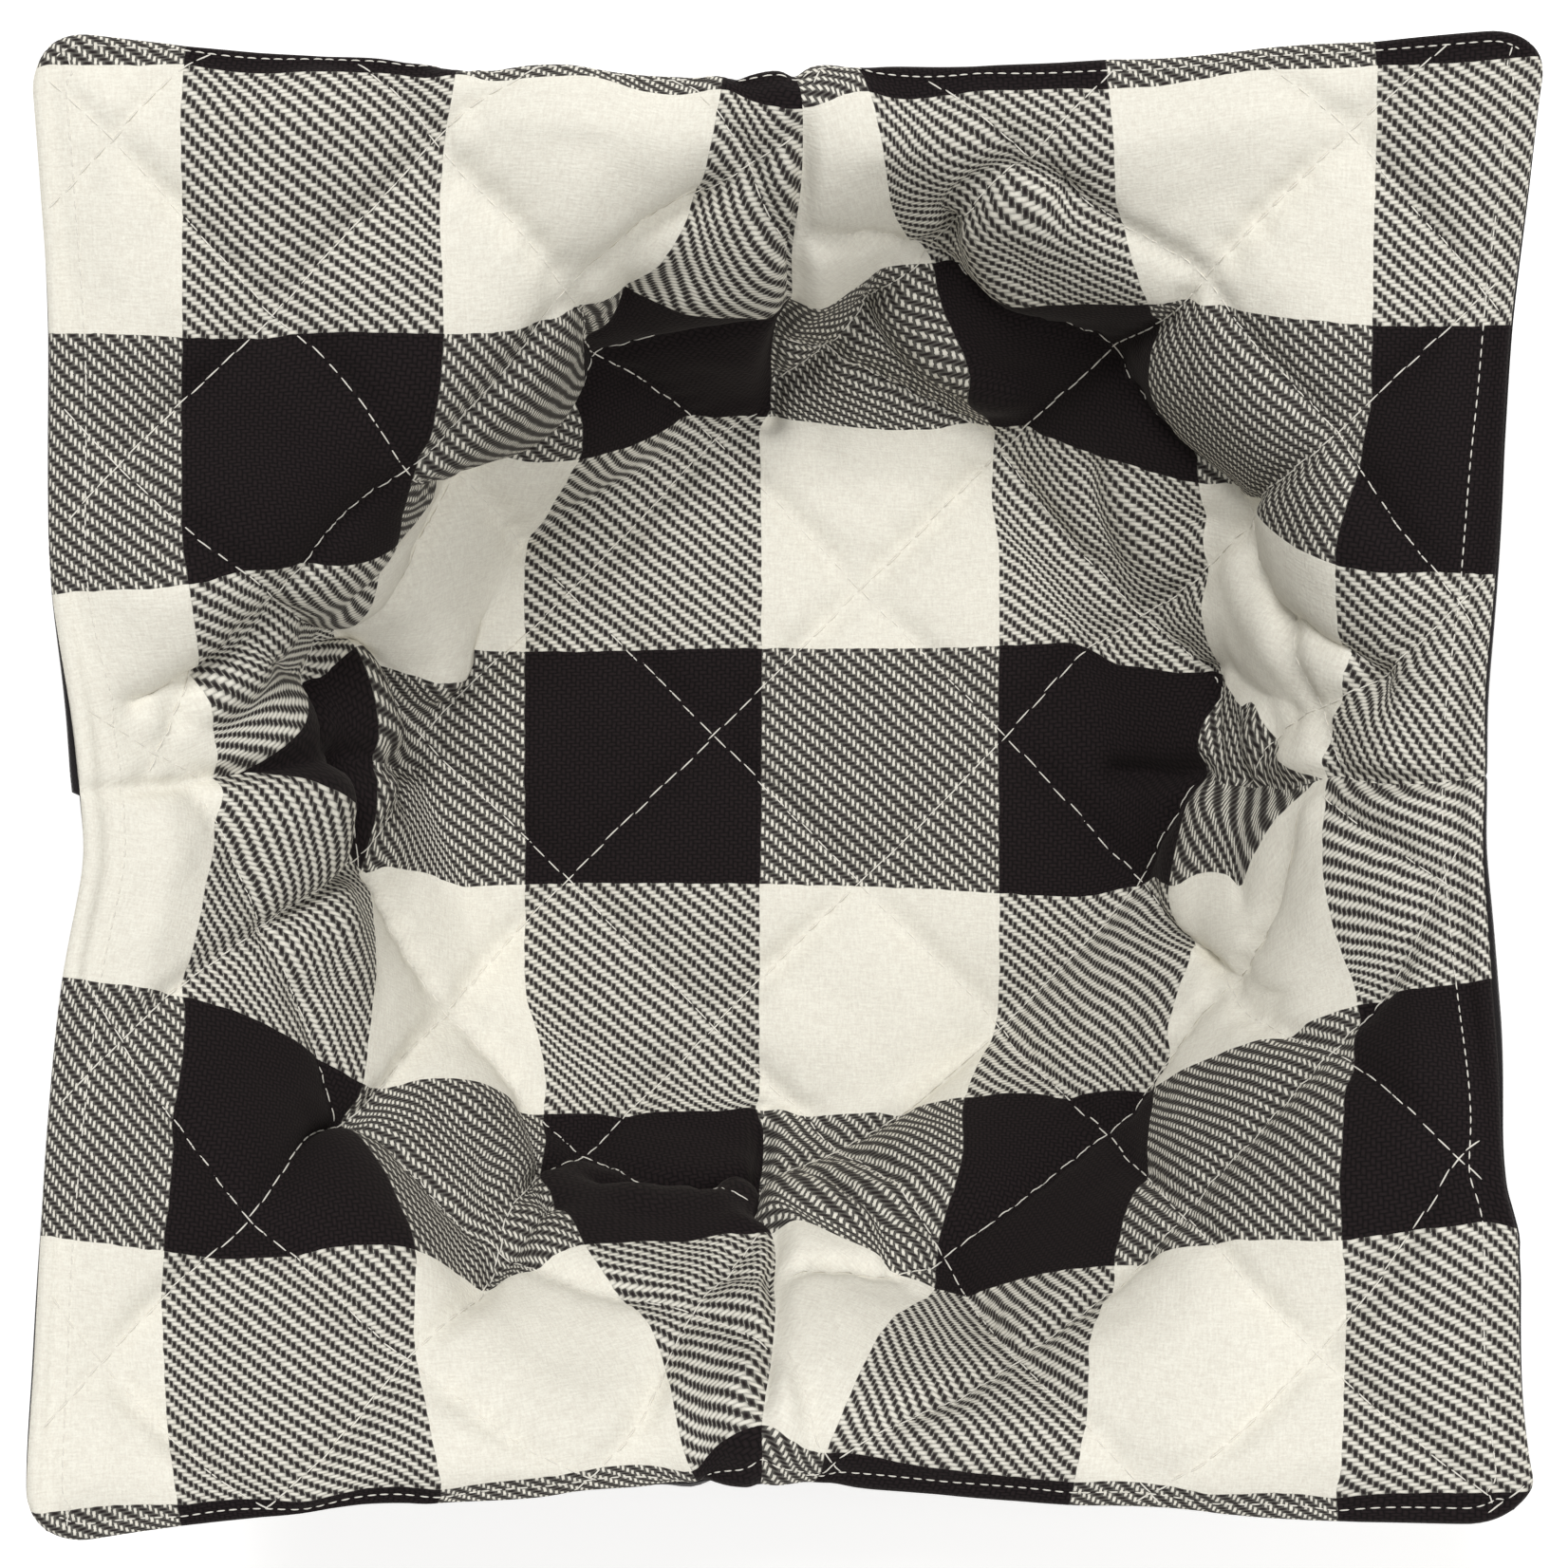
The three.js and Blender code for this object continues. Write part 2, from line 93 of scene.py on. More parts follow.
# Stitches: pitch, how uneven it is, length, rings of the tube, radius of the thread and how far
# it stands out. The thread is pressed a little flat, and thinner at both ends of a stitch.
QUILT_STITCH = dict(pitch=3.85, uneven=0.35, length=3.5, rings=7, radius=0.14, lift=0.16)
EDGE_STITCH = dict(pitch=2.45, uneven=0.15, length=1.9, rings=5, radius=0.13, lift=0.1)
THREAD_CORNERS = 6
THREAD_FLATNESS = 0.75
THREAD_END = 0.35

# Quilting lines to each side of the middle one, half their length, and how far stitches stray.
# A stitch is left out this near the rim or a dart, or where it lies off the cloth.
QUILT_LINES, QUILT_LINE_HALF, QUILT_LINE_UNEVEN = 7, 230.0, 0.25
CLEAR_OF_RIM = 1.2
CLEAR_OF_SEAM = 0.5
OFF_THE_CLOTH = 0.3

# Topstitching: distance from the rim on the east, north, west and south side, distance of its
# corners, and half the length of a side.
TOPSTITCH_IN = (2.4, 6.8, 3.9, 6.3)
TOPSTITCH_CORNER_IN = 3.7
TOPSTITCH_HALF = 140.0

# Warp lines of the check, flat, and the places between them that the table below names.
COLUMN_U = {
    "w": -HALF_WIDTH, "a": -132.6, "ab": -110.8, "abb": -99.8, "b": -88.9, "bbc": -78.0,
    "bc": -67.0, "c": -45.2, "cs": -30.0, "s": 0.0, "se": 29.0, "e": 42.2, "ef": 64.0,
    "f": 85.9, "fg": 107.7, "g": 129.6, "x": HALF_WIDTH,
}

# How the cloth lies: v of a weft line, then the columns and the place of each crossing.
SECTIONS = [
    (159.0, dict(w=(-122, 122.5), a=(-95.5, 119.5), b=(-52, 116), c=(-7.5, 116.5), s=(4, 115),
        e=(15, 117.5), f=(56.5, 117.5), g=(100, 120.5), x=(127.5, 121))),
    (153.4, dict(w=(-121.5, 115.5), a=(-96, 115.5), b=(-52, 114), c=(-8, 113), s=(5.5, 107.5),
        e=(16.5, 112.5), f=(57, 113), g=(100.5, 115.5), x=(126.5, 116.5))),
    (131.7, dict(c=(-12, 98), e=(21, 100), f=(58.5, 96.5))),
    (110.0, dict(w=(-119, 72.5), a=(-97.5, 73), b=(-56, 74), bc=(-39.5, 76), c=(-22.5, 84),
        cs=(-12.5, 80), s=(4, 81), se=(17.5, 86), e=(31, 91), ef=(47, 82), f=(65, 80.5),
        g=(101.5, 74.5), x=(124.5, 74))),
    (88.0, dict(b=(-60, 53), c=(-32.5, 72), e=(34, 77), f=(68.5, 68))),
    (66.0, dict(w=(-118.5, 29), a=(-97.5, 31.5), b=(-65.5, 40.5), bc=(-57.5, 53.5), c=(-38, 58),
        cs=(-27, 62), s=(0.5, 64.5), e=(42, 64), ef=(59, 58.5), f=(77.5, 53), fg=(88, 44.5),
        g=(98, 35.5), x=(123.5, 32))),
    (45.0, dict(a=(-97.5, 16), b=(-73, 30), f=(79, 34.5), g=(101, 18.5))),
    (22.5, dict(b=(-75, 18.5), c=(-45.5, 21.5), e=(42, 22.5), ef=(64, 19.5), f=(82.5, 15.5))),
    (0.0, dict(w=(-114.5, -3.5), a=(-93, -1.5), ab=(-78, 1.5), b=(-69.5, 2), f=(79, 1.5),
        g=(97, -0.5), x=(121.5, -0.5))),
    (-21.3, dict(b=(-75.5, -15.5), c=(-45.5, -21.5), e=(41.5, -21.5), f=(74, -20))),
    (-43.0, dict(b=(-72, -33.5), f=(76, -36), g=(98, -23.5))),
    (-65.0, dict(w=(-117.5, -35.5), a=(-99.5, -39.5), ab=(-86, -46), b=(-72.5, -53.5),
        bc=(-59.5, -56), c=(-43, -62.5), s=(-1, -63), e=(37.5, -60.5), f=(69.5, -56),
        fg=(85, -47.5), g=(101.5, -40), x=(123, -35))),
    (-87.0, dict(b=(-70.5, -67), c=(-40, -75), e=(32.5, -74.5), f=(66, -71))),
    (-108.7, dict(w=(-120, -78), a=(-100, -80.5), b=(-61.5, -81.5), c=(-29, -83), cs=(-14.5, -82.5),
        s=(0.5, -81), se=(16, -84.5), e=(27.5, -88), ef=(45.5, -89), f=(60, -86), fg=(78, -80.5),
        g=(96, -78), x=(123.5, -76.5))),
    (-130.6, dict(c=(-19, -98.5), e=(19, -100), f=(54, -101))),
    (-152.5, dict(w=(-121, -120.5), a=(-97.5, -120.5), b=(-55, -118.5), bc=(-34, -116),
        c=(-13, -114.5), s=(-1, -106.5), e=(9.5, -111), ef=(30.5, -116.5), f=(51.5, -117.5),
        g=(94.5, -120.5), x=(125.5, -118))),
    (-159.0, dict(w=(-120.5, -125), a=(-96, -123.5), b=(-55.5, -122), c=(-11.5, -118.5),
        s=(-1.5, -118.5), e=(8.5, -119), f=(50.5, -121.5), g=(93.5, -123.5), x=(126, -123))),
]

# Single places on the folds: u, v, and where that place lies.
FOLDS = [
    # North west flap, north wall, north east wall and the point of its fold.
    (-117.7, 114.7, -83.5, 75.5), (-36.7, 87.7, -29, 76), (71.3, 87.7, 60.5, 74.5),
    (99, 66, 86.5, 48.5),
    # East fold above and below its dart, south east flap and wall.
    (105, 22.5, 90.5, 7), (105, -21.3, 86.5, -14), (152.3, -101.3, 115, -65.5),
    (71.3, -74.3, 60.5, -65),
    # South wall at its dart, and its foot.
    (-9.7, -101.3, -4, -78), (-36.7, -74.3, -34, -71.5),
    # South west fold: right side, point, left side, and the flap.
    (-60, -108.7, -40, -86), (-74, -108.7, -52, -88), (-88.9, -72.5, -74.5, -61.5),
    (-117.7, -101.3, -87.5, -76),
    # West knuckle below and above its dart, its foot, and the pucker beside it.
    (-107, -21.3, -79.5, -4), (-101.9, 22.5, -82, 13), (-72, 22.5, -66, 19.5),
    (-60, 22.5, -57.5, 18),
]

# Last shifts of the dressed cloth: v of a weft line, then the columns and how far each crossing
# still moves east, north and up, or north where one number stands alone. Other crossings stay.
SHIFTS = [
    (159.0, dict(w=(-0.6, 0.6), a=(0, -0.2, -2.5), ab=(0, 0, -4.5), b=(0, -2, -5), bc=(0, -1.8, -5),
        c=(0, -1, -5), s=(0, 0.4, -4), e=(0, 0, -4), ef=(0, -2.4, -4), f=(0, 0, -2),
        fg=(0, 0.2, -1.5), g=(0, -0.6, -1), x=(0.8, 0.2))),
    (153.4, dict(a=0.6, ab=1.6, abb=2.2, b=0.6, bbc=1.4, bc=1, c=0.3, s=(0, 4.5, 1), e=0.5, ef=-1.8,
        f=-0.3, fg=1.4, g=0.7, x=(1, 0.8))),
    (131.7, dict(w=0, a=0, b=(-0.6, 0), c=(-0.8, 0), s=0, f=(0.8, 0), g=0, x=(0.3, 0))),
    (110.0, dict(ab=2, b=0.3, bc=2.2, c=(-3.7, 2.7), cs=4.3, s=3, se=5.5, e=(-2, 1.1), ef=4,
        f=(2, 2.2), fg=0.6, x=(-1.2, 0))),
    (88.0, dict(w=0, a=0, b=(-0.9, 0), c=(-3.8, 0), s=0, e=(1.7, 0), f=(2.5, 0.5), g=(1, 0),
        x=(-2, 0))),
    (66.0, dict(ab=1.1, b=(-4, 2), bc=2.5, c=(0.8, 2), cs=1.2, s=0.9, e=0.9, ef=1.3, f=(1.5, 0),
        fg=(0.8, 1.2), g=(1.2, 0.8), x=(-2.2, 0.5))),
    (45.0, dict(w=0, a=(-0.5, 0), b=(-2, 0), c=0, e=0, f=(1.8, 0), g=(0.8, 0), x=(-1.4, 0))),
    (22.5, dict(ab=(-3, 2), b=(-2.5, 2.4), e=1, ef=2, f=(2.5, 3), fg=5.5)),
    (0.0, dict(a=(-3.4, 0), ab=(-1.5, 0), b=(-2.5, 0), f=(2.5, 0), fg=2, g=(1, 0), x=(-1.1, 0))),
    (-21.3, dict(ab=-2.2, b=-3.5, bc=-0.5, c=0.8, e=-0.8, ef=-1.8, f=(2.2, -2.5), fg=(1.5, -7.5))),
    (-43.0, dict(w=(0.6, 0), a=(-3, 0), b=(-3.3, 0), c=0, e=0, f=(2, 0), g=(2, -0.5), x=(-2, 0))),
    (-65.0, dict(w=(0.5, 1), a=(-0.8, 0.8), ab=-0.5, b=(-2, -1), bc=-2.2, c=(0.8, -1), e=-2.3,
        ef=-1, f=(2.8, -1.5), fg=-2, g=(1.2, -1.8), x=(-2.6, 0))),
    (-87.0, dict(w=(0.3, 0), a=(-0.3, 0), b=(-2.5, 0), c=(-1, 0), e=(2, 0), f=(2.2, 0), g=(2, 0),
        x=(0.3, 0))),
    (-108.7, dict(w=1, a=(-1, 0.5), ab=-0.6, b=(-1.5, -2.6), bc=-3.3, c=(-3.9, -3.6), cs=-4.2,
        s=-1.5, se=-3, e=-5.3, ef=-3.3, f=(1.5, -0.8), g=(0.8, 0), x=(0.8, 0))),
    (-130.6, dict(w=(0.2, 0), a=(-0.3, 0), b=0, c=(-0.6, 0), s=0, e=(-1.5, 0), f=(1.6, 0),
        g=(-1, 0), x=(1, 0))),
    (-152.5, dict(w=(0.3, -0.5), a=(0.7, -0.3), ab=-1.1, b=(0.8, -0.2), bc=-0.6, c=-2.2,
        s=(0, -4, 1), e=-1.7, ef=0.8, f=0.5, fg=-0.3, g=(-1, 1.2), x=(1.5, 0))),
    (-159.0, dict(w=(0.3, -1.5, -3), a=(0, -0.6, -4), ab=(0, 1.6, -5), b=(0, 1.1, -5),
        bc=(0, 1.7, -5), c=(0, -0.2, -5), s=(0, -2, -4), e=(0, 0.8, -5), ef=(0, 1.5, -5),
        f=(0, 0.2, -5), fg=(0, 1, -5), g=(0, 0, -4), x=(1.7, -0.4, -2))),
]

# Where the black backing shows past the checked panel's rim: flat place, reach along the rim,
# width that shows, below zero where the backing lies farther in.
BACKING_EDGES = [
    # West rim above and below its dart, then east rim: upper part, at its dart, lower part.
    (-157, 17, 30, 0.8), (-157, -62, 38, -0.7),
    (157, 90, 50, 0.3), (157, 0, 35, -0.3), (157, -90, 50, 0.5),
]

# Creases: half width, height (below zero for a trough), then flat places along the line.
CREASES = [
    # West flap: valley, ridge and two dents.
    (3.5, -3.0, (-147, 45), (-135, 47), (-126, 47.5), (-120.5, 50.5), (-115, 56)),
    (4.5, 2.5, (-133, 41), (-124, 43), (-117, 47), (-110, 48)),
    (2.5, -1.2, (-117, 43.5), (-109, 30)),
    (2.5, -1.0, (-116, 33), (-112, 30)),
    # Below the west dart: valley and two bulges.
    (4.0, -3.0, (-118, -48), (-110, -41.5), (-98, -31)),
    (7.0, 2.0, (-108, -26), (-104, -38)),
    (5.0, 1.5, (-113, -50), (-103, -44), (-97, -48)),
    # North west: valley beside the wall.
    (4.0, -1.5, (-97, 57), (-90, 62)),
    # West knuckle: fold over it, its top, its foot, and a pucker with its trough.
    (3.0, -1.8, (-97, 31), (-90, 28), (-82, 26)),
    (4.5, 1.5, (-104, 18), (-90, 18), (-84, 5), (-84, -10), (-90, -19)),
    (3.0, -1.0, (-76, 22), (-76, 5), (-77, -12)),
    (2.5, 1.2, (-66, 21), (-62, 14)),
    (2.0, -1.0, (-63, 24), (-57, 14)),
    # North west: valley in the white, pinch above the wall, trough left of the dart.
    (5.0, -1.5, (-62, 66), (-70, 60), (-78, 56)),
    (4.0, -1.8, (-48, 112), (-55, 120), (-52, 128), (-46, 134)),
    (4.0, -1.5, (-24, 133), (-14, 118)),
    # North west grey: first wrinkle, rise, second wrinkle.
    (3.0, -1.8, (-16, 56), (-20, 52), (-29, 50), (-38, 48.5)),
    (3.0, 1.0, (-20, 47), (-31, 47)),
    (3.0, -1.5, (-27, 42), (-33, 44), (-40, 47)),
    # North east: arched valley and ridge.
    (4.0, -3.0, (76, 135), (64, 138), (56, 134), (51, 129), (51, 121)),
    (6.0, 2.5, (66, 132), (59, 128), (57, 121), (60, 114)),
    # North grey: crest, trough, and black valley in the wall.
    (5.0, 3.0, (36, 109), (37, 102), (38, 95), (41, 85), (46, 79)),
    (4.0, -2.0, (27, 103), (30, 96), (33, 87), (40, 80)),
    (3.0, -2.0, (3, 76), (11, 79), (18, 88)),
    # North east grey: valley and rise.
    (4.0, -1.8, (65, 64), (66, 54), (68, 46)),
    (4.0, 1.2, (72, 60), (76, 50)),
    # North white: two wrinkles.
    (2.5, -0.9, (9, 58), (15, 54), (27, 51.5)),
    (2.5, -0.9, (8, 53.5), (14, 50), (22, 47.5)),
    # East white: valley, lobe, its neck, and lower valley.
    (4.0, -2.8, (97, 56.5), (104, 51), (113, 49), (120.5, 51), (130.5, 48.5), (139, 43)),
    (5.0, 2.2, (95, 60), (98, 52), (109, 46), (119, 44), (130, 43)),
    (4.0, -2.0, (87, 58), (94, 61)),
    (4.0, -1.6, (97, 31), (107, 33), (117, 34.5)),
    # East: ridge and trough above the dart. South east: wrinkle in the white.
    (3.0, 1.8, (107, 24), (107, 12)),
    (3.0, -1.8, (100, 22), (101, 12)),
    (4.0, -1.5, (92, -40), (97, -43.5), (104, -49), (114, -56)),
    # South west tongue: right side, foot, and fold under it.
    (5.0, 1.5, (-62, -72), (-56, -84), (-58, -97), (-70, -108)),
    (3.5, -2.0, (-50, -68), (-47, -80), (-51, -95)),
    (3.0, -2.0, (-49, -99), (-58, -104), (-68, -109)),
    # South, left of the dart: fold, its lip, and trough.
    (3.5, -3.0, (-36, -88), (-27, -91), (-14, -90), (-7, -87)),
    (5.0, 2.2, (-32, -97), (-12, -97)),
    (3.5, -1.5, (-25, -124), (-12, -120)),
    # South, right of the dart: trough, lobe, lobe, trough, lobe.
    (3.0, -2.5, (3, -88), (14, -90), (25, -93)),
    (4.0, 2.0, (6, -95), (18, -96), (26, -103)),
    (3.0, 1.5, (27, -92), (34, -92)),
    (2.5, -2.0, (27, -96), (32, -98), (34, -102)),
    (4.0, 2.2, (34, -97), (38, -104), (39, -112)),
]

# Where the pad starts: wall drawn in and raised between two distances, flaps rising from there.
WALL_FROM, WALL_TO = 66.0, 140.0
DRAWN_IN, RISE, FLAP_SLOPE = 42.0, 55.0, 0.35

# Settling: cells to each half side, steps, stiffness of the padding and of the rim. Links have a
# shortest and a longest share of their flat length, and a weight.
COARSE = dict(cells=18, steps=1500, padding=0.12, rim=0.5)
FINE = dict(cells=36, steps=700, padding=0.25, rim=0.7)
SURFACE_CELLS = 98
FLAT_BASE_RADIUS = 63.0
THREAD_SHARES = (0.85, 1.01, 1.0)
SHEAR_SHARES = (0.88, 1.03, 0.5)
FOLD_SHARES = (0.85, 1.0, 0.5)
HOLD = 0.25
STRIDE = 1.6
MOMENTUM = 0.51

# Grid lines of the surface stand closer beside a dart and beside the rim: how much, how far. It
# clears the floor between two heights. At the rim, a power turns its outward direction round the
# corners, the backing's edge reaches this far in, and flat places run on by a share of the roll.
SEAM_TICKS, SEAM_TICKS_REACH = 1.3, 4.0
RIM_TICKS, RIM_TICKS_REACH = 1.7, 5.0
FLOOR_FROM, FLOOR_TO = 1.0, 10.0
CORNER_POWER = 21
BACKING_REACH = 5.0
ROLLED_SHARE = 0.7
NORMAL_ROUNDS = 6
SHARE_ROUNDS = 60
NOISE_SIDE = 64


def unit(vectors):
    """Vectors at a length of one; nought stays nought."""
    return vectors / np.maximum(np.linalg.norm(vectors, axis=-1, keepdims=True), 1e-9)


def flat_place(share_u, share_v):
    """Flat place of shares: a dart's gap, then the rest of the half side in equal parts, and a
    little more at the mouth of each dart."""
    a, b = np.abs(share_u), np.abs(share_v)
    along_u, along_v = a * HALF_WIDTH, b * HALF_LENGTH
    gap_u = DART_SPREAD * np.maximum(0, along_v - DART_TIP)
    gap_v = DART_SPREAD * np.maximum(0, along_u - DART_TIP)
    mouth_u = MOUTH_FULLNESS * np.exp(-(along_v / MOUTH_REACH) ** 2) * a ** MOUTH_POWER
    mouth_v = MOUTH_FULLNESS * np.exp(-(along_u / MOUTH_REACH) ** 2) * b ** MOUTH_POWER
    return np.stack([gap_u + (HALF_WIDTH - gap_u) * a + mouth_u,
                     gap_v + (HALF_LENGTH - gap_v) * b + mouth_v], -1)


def shares_at(u, v):
    """Shares of flat places, by repeated correction; a place on an axis stays on it."""
    u, v = np.asarray(u, float), np.asarray(v, float)
    a = np.minimum(1, np.abs(u) / HALF_WIDTH)
    b = np.minimum(1, np.abs(v) / HALF_LENGTH)
    off_axes = (u != 0) & (v != 0)
    for _ in range(SHARE_ROUNDS):
        place = flat_place(a, b)
        a = np.where(off_axes, np.clip(a + (np.abs(u) - place[..., 0]) / HALF_WIDTH, 0, 1), a)
        b = np.where(off_axes, np.clip(b + (np.abs(v) - place[..., 1]) / HALF_LENGTH, 0, 1), b)
    return np.sign(u) * a, np.sign(v) * b


def ends(step_i, step_j):
    """Slices of a grid at the first and the second end of every link of one step."""
    def cut(ahead):
        return slice(max(0, -ahead), -ahead if ahead > 0 else None)
    return (cut(step_i), cut(step_j)), (cut(-step_i), cut(-step_j))


class Lattice:
    """The cloth as a square grid of points, with the flat length of each link."""

    def __init__(self, cells):
        self.cells = cells
        share = np.linspace(-1, 1, 2 * cells + 1)
        self.share_u, self.share_v = np.meshgrid(share, share, indexing="ij")
        self.quarter = flat_place(self.share_u, self.share_v)
        self.flat = self.quarter * np.sign(np.stack([self.share_u, self.share_v], -1))
        self.base = np.hypot(self.flat[..., 0], self.flat[..., 1]) < FLAT_BASE_RADIUS

    def length(self, step_i, step_j):
        """Flat length of every link of one step; a link of two cells is measured cell by cell."""
        first, second = ends(np.sign(step_i), np.sign(step_j))
        cell = np.linalg.norm(self.quarter[second] - self.quarter[first], axis=-1)
        if max(abs(step_i), abs(step_j)) == 1:
            return cell
        return cell[first] + cell[second]

    def start(self):
        """The pad drawn in while its wall rises, by a smooth step of the distance out, and its
        flaps at an even slope beyond."""
        out = np.hypot(self.flat[..., 0], self.flat[..., 1])
        t = np.clip((out - WALL_FROM) / (WALL_TO - WALL_FROM), 0, 1)
        risen = t * t * (3 - 2 * t)
        scale = (out - DRAWN_IN * risen) / np.maximum(out, 1e-6)
        height = RISE * risen + FLAP_SLOPE * np.maximum(0, out - WALL_TO)
        return np.dstack([self.flat * scale[..., None], height])


def all_holds(cells):
    """Corner indices and shares of every held place, and where it is held."""
    rows = [(COLUMN_U[name], v, *lies) for v, places in SECTIONS for name, lies in places.items()]
    rows += FOLDS
    u, v, east, north = np.array(rows, float).T
    share_u, share_v = shares_at(u, v)
    at_i, at_j = cells * (1 + share_u), cells * (1 + share_v)
    i = np.minimum(at_i.astype(int), 2 * cells - 1)
    j = np.minimum(at_j.astype(int), 2 * cells - 1)
    fi, fj = at_i - i, at_j - j
    side = 2 * cells + 1
    nodes = np.stack([i * side + j, (i + 1) * side + j, i * side + j + 1,
                      (i + 1) * side + j + 1], -1)
    shares = np.stack([(1 - fi) * (1 - fj), fi * (1 - fj), (1 - fi) * fj, fi * fj], -1)
    return nodes, shares, np.stack([east, north], -1)


def settle(lattice, spots, steps, padding, rim):
    """Moves the points step by step: links keep between a shortest and a longest share of their
    flat length, the padding and the rim straighten rows, and holds draw places over theirs."""
    links = [(ends(*step), lattice.length(*step), shares) for *step, shares in (
        (1, 0, THREAD_SHARES), (0, 1, THREAD_SHARES), (1, 1, SHEAR_SHARES),
        (1, -1, SHEAR_SHARES), (2, 0, FOLD_SHARES), (0, 2, FOLD_SHARES))]
    every = slice(None)
    row = (slice(None, -2), slice(1, -1), slice(2, None))
    wide_row = (slice(None, -4), slice(2, -2), slice(4, None))
    triples = [(*((part, every) for part in row), padding),
               (*((every, part) for part in row), padding)]
    for edge in (0, -1):
        for parts in (row, wide_row):
            triples.append((*((part, edge) for part in parts), rim))
            triples.append((*((edge, part) for part in parts), rim))
    weights = np.zeros(spots.shape[:2])
    for (first, second), _, (_, _, weight) in links:
        weights[first] += weight
        weights[second] += weight
    for low, middle, high, weight in triples:
        weights[low] += 0.25 * weight
        weights[middle] += 0.75 * weight
        weights[high] += 0.25 * weight
    nodes, shares, lies = all_holds(lattice.cells)
    grip = HOLD / (shares ** 2).sum(1)
    flat_base = np.dstack([lattice.flat, np.zeros(lattice.flat.shape[:2])])[lattice.base]
    spots = spots.copy()
    carried = np.zeros_like(spots)
    for _ in range(steps):
        moves = np.zeros_like(spots)
        for (first, second), length, (shortest, longest, weight) in links:
            along = spots[second] - spots[first]
            now = np.sqrt((along * along).sum(-1)) + 1e-9
            wanted = np.clip(now, length * shortest, length * longest)
            move = (0.5 * weight * (1 - wanted / now))[..., None] * along
            moves[first] += move
            moves[second] -= move
        for low, middle, high, weight in triples:
            move = 0.5 * weight * (0.5 * (spots[low] + spots[high]) - spots[middle])
            moves[middle] += move
            moves[low] -= 0.5 * move
            moves[high] -= 0.5 * move
        moves *= (STRIDE / weights)[..., None]
        held = (shares[..., None] * spots.reshape(-1, 3)[nodes]).sum(1)[:, :2]
        pull = (lies - held) * grip[:, None]
        np.add.at(moves.reshape(-1, 3), (nodes[..., None], np.arange(2)),
                  shares[..., None] * pull[:, None])
        spots += moves + MOMENTUM * carried
        carried = moves
        spots[..., 2] = np.maximum(spots[..., 2], 0)
        spots[lattice.base] = flat_base
    return spots


def with_border(grid):
    """The grid with one more ring, each side carried on in a straight line."""
    grid = np.concatenate([2 * grid[:1] - grid[1:2], grid, 2 * grid[-1:] - grid[-2:-1]], 0)
    return np.concatenate([2 * grid[:, :1] - grid[:, 1:2], grid,
                           2 * grid[:, -1:] - grid[:, -2:-1]], 1)


def taps(at, count):
    """First of the four grid points round each place, and their Catmull-Rom weights."""
    cell = np.clip(np.floor(at).astype(int), 0, count - 2)
    t = at - cell
    weights = np.stack([t * (-1 + t * (2 - t)), 2 + t * t * (3 * t - 5),
                        t * (1 + t * (4 - 3 * t)), t * t * (t - 1)], -1) / 2
    return cell, weights


def cloth_at(spots, share_u, share_v):
    """Points of the cloth at shares, by Catmull-Rom curves both ways through the lattice."""
    count = spots.shape[0]
    half = (count - 1) / 2
    grid = with_border(spots)
    cell_i, weights_i = taps((np.asarray(share_u) + 1) * half, count)
    cell_j, weights_j = taps((np.asarray(share_v) + 1) * half, count)
    total = 0
    for k in range(4):
        for l in range(4):
            weight = weights_i[..., k] * weights_j[..., l]
            total = total + weight[..., None] * grid[cell_i + k, cell_j + l]
    return total


def settled_cloth():
    """The pad's middle surface: settled coarsely first, then again on a finer lattice."""
    coarse = Lattice(COARSE["cells"])
    spots = settle(coarse, coarse.start(), COARSE["steps"], COARSE["padding"], COARSE["rim"])
    fine = Lattice(FINE["cells"])
    spots = cloth_at(spots, fine.share_u, fine.share_v)
    return settle(fine, spots, FINE["steps"], FINE["padding"], FINE["rim"])


def ticks(cells):
    """Shares along a half side, closer together beside the dart and beside the rim."""
    t = np.linspace(0, 1, 2001)
    density = (1 + SEAM_TICKS * np.exp(-(t * HALF_WIDTH / SEAM_TICKS_REACH) ** 2)
               + RIM_TICKS * np.exp(-((1 - t) * HALF_WIDTH / RIM_TICKS_REACH) ** 2))
    total = np.concatenate([[0], np.cumsum((density[1:] + density[:-1]) / 2)])
    half = np.interp(np.linspace(0, total[-1], cells + 1), total, t)
    return np.concatenate([-half[:0:-1], half])


def round_corners(share_u, share_v, back=False):
    """Shares with each square corner drawn onto an arc: squares round a corner become circles,
    or, on the way back, circles become squares."""
    in_u = (np.abs(share_u) - (1 - CORNER_U)) / CORNER_U
    in_v = (np.abs(share_v) - (1 - CORNER_V)) / CORNER_V
    corner = (in_u > 0) & (in_v > 0)
    square, circle = np.maximum(in_u, in_v), np.hypot(in_u, in_v)
    scale = circle / np.maximum(square, 1e-9) if back else square / np.maximum(circle, 1e-9)
    drawn_u = np.sign(share_u) * (1 - CORNER_U + in_u * scale * CORNER_U)
    drawn_v = np.sign(share_v) * (1 - CORNER_V + in_v * scale * CORNER_V)
    return np.where(corner, drawn_u, share_u), np.where(corner, drawn_v, share_v)


def rim_distance(square_u, square_v):
    """Distance inside the rim, from shares with square corners."""
    return HALF_WIDTH * (1 - np.maximum(np.abs(square_u), np.abs(square_v)))


